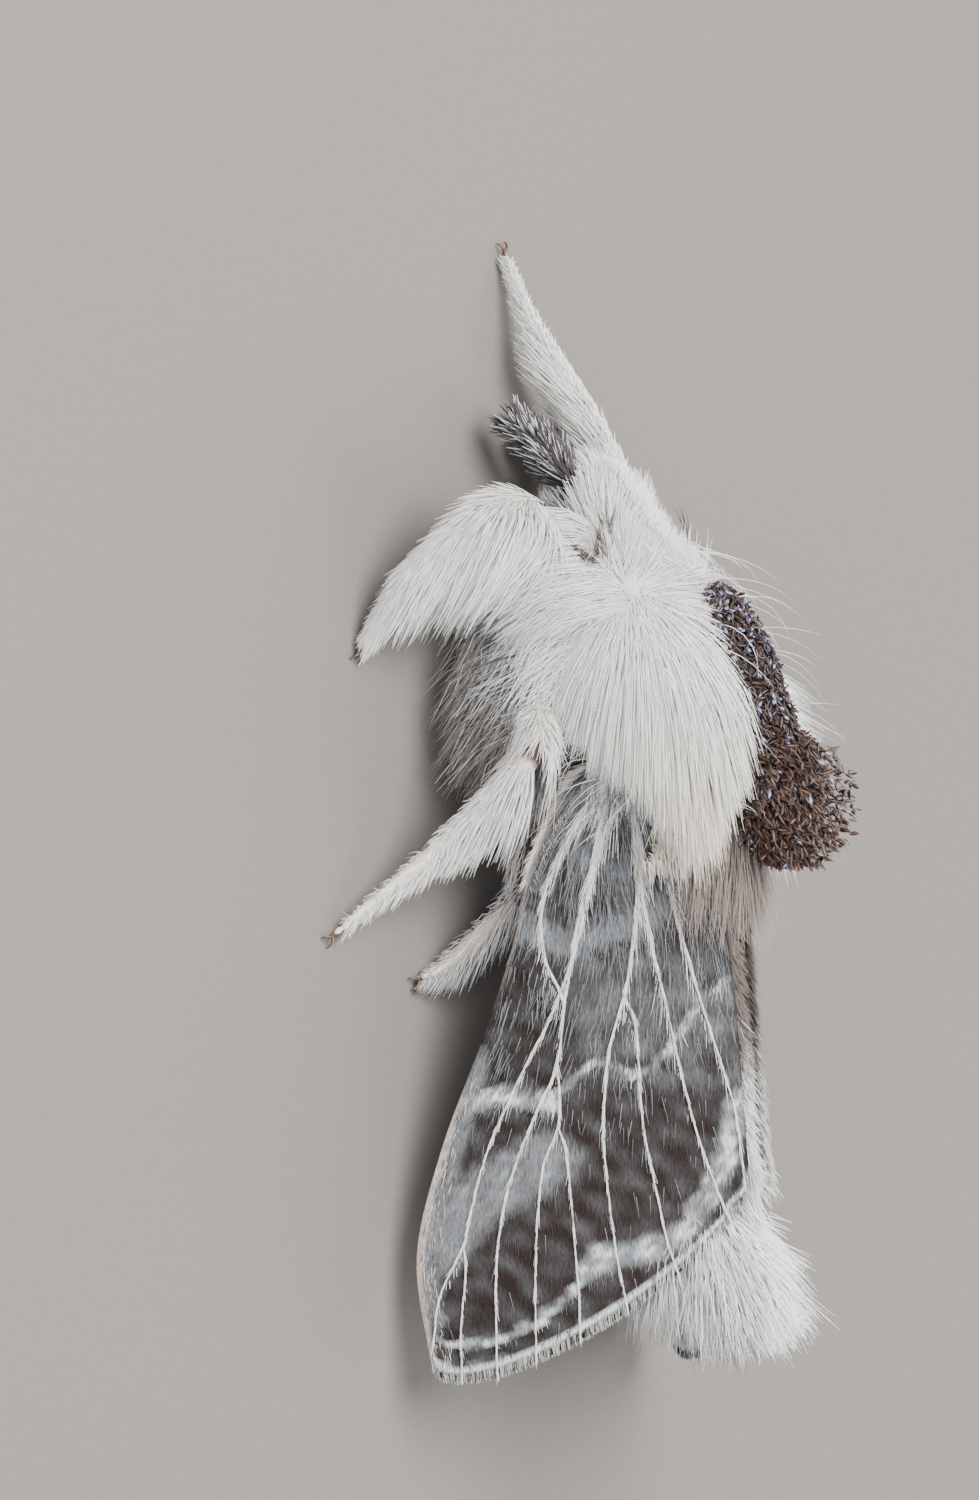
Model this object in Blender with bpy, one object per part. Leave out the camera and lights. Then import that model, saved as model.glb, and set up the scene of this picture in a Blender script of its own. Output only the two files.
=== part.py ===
"""Large tolype moth (Tolype velleda) at life size, at rest with its wings folded like a roof.

X points to the moth's left, Y to its tail and Z up. Its feet stand on the plane z = 0.
Sizes are in millimetres, and finish_node scales each finished node to metres.
"""

import math
import random

import bmesh
import bpy
from mathutils import Matrix, Vector

UP = Vector((0, 0, 1))
BACK = Vector((0, 1, 0))

# Sizes that several parts share
GAP = 0.3
SHEET = 0.5
ROOF_ANGLE = math.radians(52.0)
RIDGE_HEIGHT = 9.6
RIDGE_FROM = 2.9
RIDGE_RISE = 0.097
RIDGE_CLEAR = 0.65

# Thorax under its coat: stations as back, centre height, half width, half height
THORAX = (
    (-8.2, 5.0, 1.8, 2.1),
    (-7.2, 5.1, 2.7, 2.9),
    (-5.4, 5.1, 3.2, 3.4),
    (-3.2, 5.2, 3.3, 3.6),
    (-1.0, 5.3, 2.8, 3.4),
    (0.8, 5.4, 2.0, 2.4),
)
NECK_BACK, NECK_HEIGHT = THORAX[0][:2]
WAIST_BACK = THORAX[-1][0]
SHOULDER = Vector((2.0, -8.2, 6.6))
# Cape: places of its rows, then angle from the top, lock length and lift off the body of each column
CAPE_ROWS = (-7.3, -5.7, -4.1, -2.5, -0.9)
CAPE_COLUMNS = ((27, 4.0, 1.35), (53, 4.5, 1.0), (80, 4.4, 0.8))
# Chest hair: rows of angle, length, lift, direction and places; its tips nearly reach the floor
CHEST_ROWS = (
    (108, 4.7, 0.8, (0.74, 0.35, -0.57), (-7.3, -6.3, -5.3, -1.6)),
    (134, 4.4, 0.5, (0.87, 0.38, -0.3), (-6.8, -5.6, -4.3, -3.0, -1.7)),
)
COAT_WIDTH = 2.5
COLLAR_ANGLES = (-66, -22, 22, 66)

# Head under its coat: stations from face to neck
HEAD = (
    (-11.9, 3.3, 0.5, 0.6),
    (-11.4, 3.5, 1.2, 1.3),
    (-10.6, 3.8, 1.6, 1.6),
    (-9.7, 4.2, 1.8, 1.8),
    (-8.9, 4.6, 1.7, 1.7),
    (NECK_BACK - GAP - 0.02, NECK_HEIGHT - 0.2, 1.4, 1.6),
)
# Head locks: place from front to back, angles from the top, and the way they lie
HEAD_ROWS = (
    (-11.3, (0,), -1.0),
    (-10.5, (-28, 28), -1.0),
    (-9.8, (0, 52, -52), 1.0),
    (-9.0, (24, -24, 75, -75, 120, -120), 1.0),
)
EYE_PLACE = Vector((1.2, -10.7, 3.7))
EYE_RADIUS = 0.9
PALP_LEFT = ((0.7, -11.3, 2.9), (1.5, -12.4, 2.3), (2.6, -13.6, 1.5))
PALP_RIGHT = ((-0.4, -11.3, 2.5), (-0.4, -12.3, 1.6), (0.3, -13.2, 0.8))
PALP_LOCKS = ((1, 0), (1, 120), (1, 240), (2, 60), (2, 180), (2, 300))
ANTENNA = ((1.0, -10.7, 4.9), (1.9, -10.0, 5.1), (2.6, -8.9, 5.1), (3.2, -7.6, 5.1), (3.7, -6.3, 5.1))

# Crest of spoon-shaped scales along the middle of the back, as back and height
CREST = ((-7.2, 7.8), (-5.9, 8.4), (-4.6, 8.9), (-3.2, 9.4), (-1.8, 10.0), (-0.6, 10.3))
CREST_HALF_WIDTHS = (0.5, 0.8, 0.85, 0.95, 1.0, 0.6)
CREST_HALF_HEIGHTS = (0.6, 0.9, 1.1, 1.5, 1.6, 0.9)
CREST_REACH = 0.5
CREST_ANGLES = (-50, 0, 50)

# Abdomen: stations from waist to the root of the tail tuft
ABDOMEN = (
    (WAIST_BACK + GAP, 4.2, 1.7, 1.7),
    (3.2, 3.5, 2.15, 2.15),
    (6.2, 3.5, 2.3, 2.3),
    (9.0, 4.1, 2.05, 2.05),
    (11.4, 5.6, 1.5, 1.6),
    (13.2, 7.5, 1.15, 1.25),
)
TAIL_ROOT = (
    (ABDOMEN[-1][0] + GAP, 7.8, 1.05, 1.2),
    (14.5, 8.3, 1.2, 1.4),
    (15.6, 8.8, 1.2, 1.4),
    (16.4, 9.1, 0.5, 0.6),
)
TAIL_AIM = Vector((0, 1.0, 0.34))
# Rings of the tail tuft: spread from its middle, number of locks, their length
TAIL_RINGS = ((0.2, 4, 4.6), (0.7, 7, 4.3), (1.2, 10, 3.7))

# Wing edges as distance down the roof slope from the ridge, and back
FOREWING_COSTA = (
    (4.6, -1.9), (5.7, -0.9), (7.2, 1.6), (8.1, 4.4),
    (9.3, 7.4), (11.1, 11.4), (12.2, 15.0), (12.0, 18.5),
)
FOREWING_INNER = ((3.4, -1.4), (2.3, 0.6), (1.0, 3.0), (RIDGE_CLEAR, 6.0), (RIDGE_CLEAR, 12.2))
FOREWING_BULGE = 2.05
FOREWING_VEINS = (0.04, 0.11, 0.21, 0.32, 0.455, 0.6, 0.755, 0.91)
HINDWING_COSTA = ((4.6, -0.4), (5.2, 2.0), (6.5, 5.0), (8.2, 9.0), (9.4, 12.5), (9.0, 14.6))
HINDWING_INNER = ((3.4, 0.2), (2.2, 2.4), (1.9, 5.0), (1.9, 8.0), (1.9, 9.6))
HINDWING_BULGE = 1.3
HINDWING_DEPTH = 1.05
HINDWING_VEINS = (0.15, 0.38, 0.62, 0.85)
VEIN_HEIGHT = 0.2
VEIN_SHARE = 0.018
ROOM_LINES = (0.0, 0.1, 0.28, 0.5, 0.72, 0.9, 1.0)
CAMBER = 0.55

# Legs from hip through knee to foot; the right foreleg reaches forward past the face
FORELEG_LEFT = ((1.8, -6.8, 3.2), (4.0, -9.8, 3.7), (6.4, -10.3, 3.6), (8.6, -8.1, 1.7), (9.5, -5.6, 0.2))
FORELEG_RIGHT = (
    (-1.8, -7.0, 3.0), (-3.5, -10.0, 2.2), (-1.6, -13.0, 2.3), (0.35, -16.2, 1.3), (0.95, -19.3, 0.2),
)
MIDLEG = ((1.8, -4.6, 3.0), (3.9, -3.6, 3.6), (5.5, -2.1, 4.6), (7.1, 0.8, 2.2), (11.0, 4.0, 0.2))
HINDLEG = ((1.8, -1.4, 3.0), (2.9, 0.3, 2.6), (3.5, 2.5, 2.8), (4.7, 4.9, 0.8), (6.0, 5.6, 0.2))
LEG_RADII = (0.6, 0.62, 0.6, 0.45, 0.28)
LEG_STEPS = 3
LEG_SIDES = 7

# Leg hair: the side it hangs to, its run along the leg, angles of the lock rows round the leg from
# there, then lock length and width above the knee and below it
LEG_HAIR = {
    "foreleg_left": ((0.2, 0.9, -0.3), 0.3, (-62, 62), 3.8, 2.3, 3.0, 2.0),
    "foreleg_right": ((-0.2, -0.3, 0.6), 1.7, (-75, 75), 2.6, 1.8, 2.8, 1.8),
    "midleg_left": ((0.1, 1.0, -0.2), 0.4, (-62, 62), 2.0, 1.5, 3.4, 1.8),
    "midleg_right": ((-0.1, 1.0, -0.2), 0.4, (-62, 62), 2.0, 1.5, 3.4, 1.8),
    "hindleg_left": ((0.2, 0.8, 0.0), 1.2, (-60, 60), 1.2, 1.1, 1.6, 1.1),
    "hindleg_right": ((-0.2, 0.8, 0.0), 1.2, (-60, 60), 1.2, 1.1, 1.6, 1.1),
}

# Lock sections from root to tip: share of the length, and share of the full width
LOCK_SHARES = ((0.0, 0.6), (0.38, 1.0), (0.74, 0.72), (1.0, 0.1))
SHORT_SHARES = ((0.0, 0.7), (0.5, 1.0), (1.0, 0.1))
SPOON_SHARES = ((0.0, 0.4), (0.75, 1.0), (1.0, 0.35))
LOCK_SIDES = 3
LOCK_HALF_DEPTH = 0.33
LOCK_FLOOR = 0.35


def clear_scene():
    for thing in list(bpy.data.objects):
        bpy.data.objects.remove(thing, do_unlink=True)


def material(name, colour, roughness):
    made = bpy.data.materials.new(name)
    made.use_nodes = True
    shader = made.node_tree.nodes["Principled BSDF"]
    shader.inputs["Base Color"].default_value = (*colour, 1.0)
    shader.inputs["Roughness"].default_value = roughness
    shader.inputs["Metallic"].default_value = 0.0
    made.diffuse_color = (*colour, 1.0)
    return made


def smooth_path(points, steps):
    """Points on one smooth curve through the given ones, with a number of steps to each stretch."""
    points = [Vector(point) for point in points]
    ends = [2 * points[0] - points[1], *points, 2 * points[-1] - points[-2]]
    found = []
    for start in range(len(points) - 1):
        before, here, there, after = ends[start : start + 4]
        for step in range(steps):
            t = step / steps
            bend = 2 * before - 5 * here + 4 * there - after
            twist = 3 * here - before - 3 * there + after
            found.append(here + 0.5 * t * (there - before + t * (bend + t * twist)))
    found.append(points[-1])
    return found


def between(values, share):
    """The value at a share of the way along a row of evenly spaced values."""
    place = share * (len(values) - 1)
    low = min(int(place), len(values) - 2)
    return values[low] + (place - low) * (values[low + 1] - values[low])


def station(centre, tangent, up, half_width, half_height):
    """A matrix that lays a unit circle across the tangent, as one section of a form."""
    tangent = tangent.normalized()
    side = up.cross(tangent).normalized()
    across = tangent.cross(side)
    columns = (side * half_width, across * half_height, tangent, centre)
    return Matrix([[column[row] for column in columns] for row in range(3)] + [[0, 0, 0, 1]])


def body_stations(rows):
    """Upright sections on the midline, from rows of back, height, half width and half height."""
    return [station(Vector((0, back, height)), BACK, UP, width, tall) for back, height, width, tall in rows]


def path_stations(path, widths, heights, up):
    """Sections square to a path, their half sizes read from two rows of values."""
    found = []
    last = len(path) - 1
    for index, centre in enumerate(path):
        tangent = path[min(index + 1, last)] - path[max(index - 1, 0)]
        share = index / last
        found.append(station(centre, tangent, up, between(widths, share), between(heights, share)))
    return found


def grown(stations, by):
    """The same form, larger by the gap on every side, which cuts room for it in a neighbour."""
    last = len(stations) - 1
    found = []
    for index, section in enumerate(stations):
        larger = section.copy()
        for axis in (0, 1):
            length = section.col[axis].xyz.length
            larger.col[axis] = section.col[axis] * ((length + by) / length)
        shift = -by if index == 0 else by if index == last else 0.0
        larger.translation = section.translation + section.col[2].xyz * shift
        found.append(larger)
    return found


def new_object(name, bm):
    bmesh.ops.recalc_face_normals(bm, faces=bm.faces[:])
    mesh = bpy.data.meshes.new(name)
    bm.to_mesh(mesh)
    bm.free()
    made = bpy.data.objects.new(name, mesh)
    bpy.context.scene.collection.objects.link(made)
    return made


def loft(name, stations, sides, floor=None):
    """One closed form through its sections, flattened where it would pass below the floor."""
    bm = bmesh.new()
    verts = bmesh.ops.create_circle(bm, cap_ends=True, segments=sides, radius=1.0)["verts"]
    bmesh.ops.transform(bm, matrix=stations[0], verts=verts)
    edges = bm.edges[:]
    for before, after in zip(stations, stations[1:]):
        made = bmesh.ops.extrude_edge_only(bm, edges=edges)["geom"]
        verts = [item for item in made if isinstance(item, bmesh.types.BMVert)]
        edges = [item for item in made if isinstance(item, bmesh.types.BMEdge)]
        edges = [edge for edge in edges if edge.is_boundary]
        bmesh.ops.transform(bm, matrix=after @ before.inverted(), verts=verts)
    bmesh.ops.contextual_create(bm, geom=edges)
    if floor is not None:
        for vert in bm.verts:
            vert.co.z = max(vert.co.z, floor)
    return new_object(name, bm)


def lock(root, out, lie, length, width, lift=0.4, sink=0.7, flare=0.0, shares=LOCK_SHARES, bend=None):
    """The sections of one flat, tapered lock, rooted under the surface and bent along the coat's lie."""
    start = root - out * sink
    middle = root + out * lift + lie * length * 0.3
    tip = root + out * (lift + flare) + lie * length
    path = []
    for share, _ in shares:
        point = start * (1 - share) ** 2 + middle * 2 * share * (1 - share) + tip * share**2
        path.append(bend(point) if bend else point)
    sections = []
    last = len(path) - 1
    for index, (_, part) in enumerate(shares):
        tangent = path[min(index + 1, last)] - path[max(index - 1, 0)]
        depth = LOCK_HALF_DEPTH * (1.0 if index < last else 0.35)
        sections.append(station(path[index], tangent, out, width / 2 * part, depth))
    return sections


def along_surface(direction, out):
    """A direction laid onto the surface whose outward direction is given."""
    return (direction - out * direction.dot(out)).normalized()


def on_body(rows, back, angle):
    """The place and outward direction on a body form, an angle round from the top, in degrees."""
    low = max(index for index in range(len(rows) - 1) if rows[index][0] <= back)
    share = (back - rows[low][0]) / (rows[low + 1][0] - rows[low][0])
    height, width, tall = (rows[low][k] + share * (rows[low + 1][k] - rows[low][k]) for k in (1, 2, 3))
    turn = math.radians(angle)
    place = Vector((width * math.sin(turn), back, height + tall * math.cos(turn)))
    out = Vector((math.sin(turn) / width, 0, math.cos(turn) / tall)).normalized()
    return place, out


def boolean(target, helpers, operation):
    """Joins closed helper meshes to a node, or cuts them from it, and removes them."""
    group = bpy.data.collections.new("helpers")
    bpy.context.scene.collection.children.link(group)
    for helper in helpers:
        group.objects.link(helper)
    modifier = target.modifiers.new(operation.title(), "BOOLEAN")
    modifier.operation = operation
    modifier.operand_type = "COLLECTION"
    modifier.collection = group
    modifier.solver = "MANIFOLD"
    graph = bpy.context.evaluated_depsgraph_get()
    mesh = bpy.data.meshes.new_from_object(target.evaluated_get(graph))
    target.modifiers.clear()
    target.data = mesh
    for helper in helpers:
        bpy.data.objects.remove(helper, do_unlink=True)
    bpy.data.collections.remove(group)


def box_volume(shell):
    size = 1.0
    for axis in range(3):
        places = [vert.co[axis] for vert in shell]
        size *= max(places) - min(places)
    return size


def keep_largest(node):
    """Deletes all but the largest closed surface of a node."""
    bm = bmesh.new()
    bm.from_mesh(node.data)
    left = set(bm.verts)
    shells = []
    while left:
        first = left.pop()
        shell = [first]
        for vert in shell:
            for edge in vert.link_edges:
                other = edge.other_vert(vert)
                if other in left:
                    left.discard(other)
                    shell.append(other)
        shells.append(shell)
    shells.sort(key=box_volume, reverse=True)
    loose = [vert for shell in shells[1:] for vert in shell]
    bmesh.ops.delete(bm, geom=loose, context="VERTS")
    bm.to_mesh(node.data)
    bm.free()


def fuse(name, core, sides, locks, rooms, finish, floor=None):
    """One node: its core with its locks joined on, less the room that its neighbours need."""
    node = loft(name, core, sides, floor)
    lock_floor = None if floor is None else LOCK_FLOOR
    if locks:
        boolean(node, [loft("lock", sections, LOCK_SIDES, lock_floor) for sections in locks], "UNION")
    if rooms:
        boolean(node, rooms, "DIFFERENCE")
    keep_largest(node)
    finish_node(node, finish)
    return node


def room(sections, sides):
    """The space that a form and the gap round it take from a neighbour."""
    return loft("room", grown(sections, GAP / math.cos(math.pi / sides)), sides)


def finish_node(node, finish):
    """Scales a node from millimetres to metres, smooths its shading and gives it its material."""
    node.data.transform(Matrix.Scale(0.001, 4))
    node.data.shade_smooth()
    node.data.set_sharp_from_angle(angle=math.radians(50))
    node.data.materials.clear()
    node.data.materials.append(finish)


def on_roof(side, down, back, lift=0.0):
    """A point of a folded wing's plane, given down the slope from the ridge, back, and out from it."""
    ridge = RIDGE_HEIGHT + RIDGE_RISE * (back - RIDGE_FROM)
    across = down * math.cos(ROOF_ANGLE) + lift * math.sin(ROOF_ANGLE)
    height = ridge - down * math.sin(ROOF_ANGLE) + lift * math.cos(ROOF_ANGLE)
    return Vector((side * across, back, height))


def above_wing(point):
    """The point, pushed out where it would come closer to a folded wing's outer face than a lock may."""
    clear = 1.05 + 0.05 * max(point.y, 0.0)
    if point.y < -2.2:
        return point
    side = 1 if point.x > 0 else -1
    ridge = RIDGE_HEIGHT + RIDGE_RISE * (point.y - RIDGE_FROM)
    out = Vector((side * math.sin(ROOF_ANGLE), 0, math.cos(ROOF_ANGLE)))
    lift = abs(point.x) * math.sin(ROOF_ANGLE) + (point.z - ridge) * math.cos(ROOF_ANGLE)
    return point + out * max(clear - lift, 0.0)


def wing(name, side, costa, inner, bulge, veins, depth, rows, extra=0.0):
    """A thin curved sheet whose rows run from base to outer margin, with each vein a raised row."""
    front = smooth_path(costa, 4)
    rear = smooth_path(inner, 4)
    lines = [0.0, 1.0] if veins else list(ROOM_LINES)
    for vein in veins:
        lines += [vein - VEIN_SHARE, vein, vein + VEIN_SHARE]
    lines.sort()
    centre = between(front, 0.5).lerp(between(rear, 0.5), 0.5)
    bm = bmesh.new()
    bmesh.ops.create_grid(bm, x_segments=len(lines) - 1, y_segments=rows, size=0.5)
    lower = {}
    for vert in bm.verts:
        across = lines[round((vert.co.x + 0.5) * (len(lines) - 1))]
        along = vert.co.y + 0.5
        place = between(front, along).lerp(between(rear, along), across)
        place.y += bulge * along**3 * math.sqrt(4 * across * (1 - across))
        place += (place - centre).normalized() * extra
        lift = depth + CAMBER * math.sin(math.pi * across) * along
        ridge = VEIN_HEIGHT if across in veins or not veins else 0.0
        vert.co = on_roof(side, place.x, place.y, lift + ridge + SHEET / 2 + extra)
        lower[tuple(vert.co)] = on_roof(side, place.x, place.y, lift - SHEET / 2 - extra)
    bmesh.ops.triangulate(bm, faces=bm.faces[:], quad_method="FIXED")
    made = bmesh.ops.extrude_face_region(bm, geom=bm.faces[:] + bm.edges[:])["geom"]
    for vert in [item for item in made if isinstance(item, bmesh.types.BMVert)]:
        vert.co = lower[tuple(vert.co)]
    return new_object(name, bm)


def forewing(name, side, veins=FOREWING_VEINS, rows=8, extra=0.0):
    return wing(name, side, FOREWING_COSTA, FOREWING_INNER, FOREWING_BULGE, veins, 0.0, rows, extra)


def hindwing(name, side, veins=HINDWING_VEINS, rows=5, extra=0.0):
    depth = -HINDWING_DEPTH
    return wing(name, side, HINDWING_COSTA, HINDWING_INNER, HINDWING_BULGE, veins, depth, rows, extra)


def wing_rooms():
    return [form("room", side, (), 6, GAP) for form in (forewing, hindwing) for side in (1, -1)]


def build_wings():
    for side, word in ((1, "left"), (-1, "right")):
        fore = forewing("forewing_" + word, side)
        hind = hindwing("hindwing_" + word, side)
        for sheet in (fore, hind):
            boolean(sheet, [room(body_stations(THORAX), 16)], "DIFFERENCE")
            keep_largest(sheet)
        finish_node(fore, material("forewing scales " + word, (0.09, 0.07, 0.065), 0.6))
        finish_node(hind, material("hindwing scales " + word, (0.2, 0.17, 0.16), 0.6))


def leg_sections(joints, side):
    """The sections of a leg's two lengths, parted at the knee by the gap."""
    path = smooth_path([(x * side, y, z) for x, y, z in joints], LEG_STEPS)
    sections = path_stations(path, LEG_RADII, LEG_RADII, UP + BACK * 0.1)
    knee = 2 * LEG_STEPS
    upper = [section.copy() for section in sections[: knee + 1]]
    lower = [section.copy() for section in sections[knee:]]
    upper[-1].translation -= upper[-1].col[2].xyz * GAP / 2
    lower[0].translation += lower[0].col[2].xyz * GAP / 2
    return upper, lower


def leg_locks(sections, picks, angles, fan, run, length, width, draw):
    """Locks round a leg, hanging to one side and some way along it."""
    locks = []
    for pick in picks:
        section = sections[pick]
        along = section.col[2].xyz
        radius = section.col[0].xyz.length
        for angle in angles:
            turn = math.radians(angle + draw.uniform(-8, 8))
            out = Matrix.Rotation(turn, 3, along) @ along_surface(fan, along)
            root = section.translation + out * (radius - 0.1)
            lie = (along * run + fan + out * 0.1).normalized()
            size = length * draw.uniform(0.85, 1.15)
            locks.append(lock(root, out, lie, size, width, 0.3, radius * 0.6, 0.0, SHORT_SHARES))
    return locks


def leg_forms():
    """Each leg length's core sections and its locks, by node name."""
    draw = random.Random(17)
    routes = {"foreleg_left": (FORELEG_LEFT, 1), "foreleg_right": (FORELEG_RIGHT, 1)}
    for side, word in ((1, "left"), (-1, "right")):
        routes["midleg_" + word] = (MIDLEG, side)
        routes["hindleg_" + word] = (HINDLEG, side)
    forms = {}
    for name, (joints, side) in routes.items():
        fan, run, angles, thigh_length, thigh_width, shin_length, shin_width = LEG_HAIR[name]
        fan = Vector(fan).normalized()
        upper, lower = leg_sections(joints, side)
        thigh_locks = leg_locks(upper, (3, 4, 5), angles, fan, run, thigh_length, thigh_width, draw)
        shin_locks = leg_locks(lower, (1, 2, 3), angles, fan, run, shin_length, shin_width, draw)
        forms[name + "_upper"] = (upper, thigh_locks)
        forms[name + "_lower"] = (lower, shin_locks)
    return forms


def build_legs(forms):
    finish = material("leg white hair", (0.72, 0.75, 0.76), 0.8)
    for name, (core, locks) in forms.items():
        rooms = wing_rooms()
        if name.endswith("_upper"):
            rooms.append(room(body_stations(THORAX), 16))
            rooms += [room(*form) for form in room_forms(forms, name.replace("_upper", "_lower"))]
        if name.startswith("foreleg"):
            rooms += [eye("room", side, GAP) for side in (1, -1)]
        fuse(name, core, LEG_SIDES, locks, rooms, finish, floor=0.0)


def eye(name, side, extra=0.0):
    centre = Vector((EYE_PLACE.x * side, EYE_PLACE.y, EYE_PLACE.z))
    bm = bmesh.new()
    bmesh.ops.create_icosphere(
        bm, subdivisions=2, radius=EYE_RADIUS + extra, matrix=Matrix.Translation(centre)
    )
    return new_object(name, bm)


def palp_forms(side):
    path = smooth_path(PALP_LEFT if side > 0 else PALP_RIGHT, 2)
    core = path_stations(path, (0.45, 0.5, 0.3), (0.45, 0.5, 0.3), UP)
    draw = random.Random(7)
    locks = []
    for pick, angle in PALP_LOCKS:
        along = core[pick].col[2].xyz
        out = Matrix.Rotation(math.radians(angle), 3, along) @ along_surface(UP, along)
        length = 2.0 * draw.uniform(0.85, 1.2)
        root = core[pick].translation + out * 0.3
        locks.append(lock(root, out, along, length, 0.9, 0.25, 0.3, 0.0, SHORT_SHARES))
    return core, locks


def antenna_sections(side):
    path = smooth_path([(x * side, y, z) for x, y, z in ANTENNA], 2)
    return path_stations(path, (0.3, 0.5, 0.55, 0.45, 0.15), (0.3, 0.27, 0.27, 0.26, 0.12), UP)


def head_locks():
    draw = random.Random(11)
    locks = []
    for back, angles, way in HEAD_ROWS:
        for angle in angles:
            root, out = on_body(HEAD, back, angle + draw.uniform(-6, 6))
            lie = along_surface(Vector((out.x * 0.4, way, -0.1)), out)
            locks.append(lock(root, out, lie, draw.uniform(1.5, 1.9), 1.5, 0.45, 0.5, 0.0, SHORT_SHARES))
    return locks


def build_head(legs):
    finish = material("head white hair", (0.7, 0.74, 0.76), 0.8)
    dark = material("palp dark grey hair", (0.16, 0.15, 0.16), 0.8)
    brown = material("antenna brown", (0.36, 0.28, 0.22), 0.6)
    core = body_stations(HEAD)
    rooms = []
    for side, word in ((1, "left"), (-1, "right")):
        finish_node(eye("eye_" + word, side), material("compound eye " + word, (0.03, 0.022, 0.02), 0.25))
        palp, locks = palp_forms(side)
        leg_room = [room(*form) for form in room_forms(legs, "foreleg_right")]
        fuse("palp_" + word, palp, 8, locks, [room(core, 16), *leg_room], dark, floor=0.0)
        antenna = antenna_sections(side)
        fuse("antenna_" + word, antenna, 6, [], [room(core, 16)], brown)
        rooms += [eye("room", side, GAP), room(palp, 8), room(antenna, 6)]
        rooms += [room(sections, LOCK_SIDES) for sections in locks]
    rooms += [room(*form) for form in room_forms(legs, "foreleg")]
    fuse("head", core, 16, head_locks(), rooms, finish)


def room_forms(forms, start):
    """The sections and side counts of every leg form whose node name starts so."""
    found = []
    for name, (core, locks) in forms.items():
        if name.startswith(start):
            found += [(core, LEG_SIDES)] + [(sections, LOCK_SIDES) for sections in locks]
    return found


def crest_sections(extra=0.0):
    path = smooth_path([(0, back, height) for back, height in CREST], 2)
    widths = [width + extra for width in CREST_HALF_WIDTHS]
    heights = [height + extra for height in CREST_HALF_HEIGHTS]
    return path_stations(path, widths, heights, UP)


def crest_clumps():
    """Spoon-shaped scale clumps in rows over the crest, each curled up and back."""
    draw = random.Random(23)
    core = crest_sections()
    clumps = []
    for pick in range(1, len(core)):
        section = core[pick]
        rear = (pick / (len(core) - 1)) ** 2
        for angle in CREST_ANGLES:
            turn = math.radians(angle + draw.uniform(-8, 8) + 12 * (pick % 2 * 2 - 1))
            side = section.col[0].xyz * math.sin(turn)
            rise = section.col[1].xyz * math.cos(turn)
            root = section.translation + side + rise
            out = (side + rise).normalized()
            lie = (section.col[2].xyz * 0.8 + UP * (0.35 + 0.9 * rear) + out * 0.15).normalized()
            length = draw.uniform(1.2, 1.5) + 1.1 * rear
            clumps.append(lock(root, out, lie, length, 1.35, 0.35, 0.4, 0.0, SPOON_SHARES))
    return clumps


def build_crest():
    finish = material("dark crest scales", (0.08, 0.05, 0.035), 0.45)
    rooms = wing_rooms() + [room(body_stations(THORAX), 16)]
    fuse("thorax_crest", crest_sections(), 10, crest_clumps(), rooms, finish)


def thorax_locks():
    """The cape, fanned out from each shoulder and laid over the wing roots, the chest hair and a collar."""
    draw = random.Random(5)
    locks = []
    for side in (1, -1):
        shoulder = Vector((SHOULDER.x * side, SHOULDER.y, SHOULDER.z))
        for row, back in enumerate(CAPE_ROWS):
            for angle, length, lift in CAPE_COLUMNS:
                turn = angle + draw.uniform(-4, 4) + (5 if row % 2 else -5)
                root, out = on_body(THORAX, back + draw.uniform(-0.3, 0.3), turn * side)
                lie = along_surface((root - shoulder).normalized() + BACK * 0.7, out)
                size = length * draw.uniform(0.9, 1.1)
                locks.append(lock(root, out, lie, size, COAT_WIDTH, lift, 0.7, bend=above_wing))
        for angle, length, lift, lie, places in CHEST_ROWS:
            for back in places:
                root, out = on_body(THORAX, back, (angle + draw.uniform(-4, 4)) * side)
                lie_here = Vector((lie[0] * side, lie[1], lie[2])).normalized()
                size = length * draw.uniform(0.93, 1.05)
                locks.append(lock(root, out, lie_here, size, COAT_WIDTH, lift, 0.7, 0.0, SHORT_SHARES))
    for angle in COLLAR_ANGLES:
        root, out = on_body(THORAX, NECK_BACK + 0.4, angle)
        lie = (out + BACK * 0.8).normalized()
        locks.append(lock(root, out, lie, 1.6, 2.2, 0.3, 0.6, 0.0, SHORT_SHARES))
    return locks


def build_thorax(legs):
    finish = material("thorax white hair", (0.72, 0.75, 0.76), 0.8)
    rooms = wing_rooms() + [room(crest_sections(CREST_REACH), 10), room(body_stations(HEAD), 16)]
    rooms += [room(antenna_sections(side), 6) for side in (1, -1)]
    rooms += [room(*form) for form in room_forms(legs, "")]
    rooms += [room(sections, LOCK_SIDES) for sections in head_locks()]
    fuse("thorax", body_stations(THORAX), 16, thorax_locks(), rooms, finish, floor=0.0)


def tail_locks():
    """A fan of long locks from the end of the abdomen, widest at the outer ring."""
    draw = random.Random(31)
    aim = TAIL_AIM.normalized()
    start = Vector((0, TAIL_ROOT[1][0], TAIL_ROOT[1][1]))
    locks = []
    for spread, count, length in TAIL_RINGS:
        for step in range(count):
            turn = math.tau * (step + draw.uniform(-0.25, 0.25)) / count
            out = Vector((math.cos(turn), 0, math.sin(turn)))
            lie = (aim + out * spread * 0.52).normalized()
            root = start + out * min(spread, 0.9) + BACK * draw.uniform(-0.4, 0.6)
            size = length * draw.uniform(0.88, 1.1)
            locks.append(lock(root, out, lie, size, 1.4, 0.2, 0.4, 0.0, SHORT_SHARES))
    return locks


def build_abdomen_and_tail():
    grey = material("abdomen grey hair", (0.42, 0.4, 0.4), 0.85)
    white = material("tail white hair", (0.72, 0.74, 0.76), 0.8)
    fuse("abdomen", body_stations(ABDOMEN), 18, [], [], grey)
    rooms = wing_rooms() + [room(body_stations(ABDOMEN), 18)]
    fuse("tail_tuft", body_stations(TAIL_ROOT), 12, tail_locks(), rooms, white)


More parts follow.
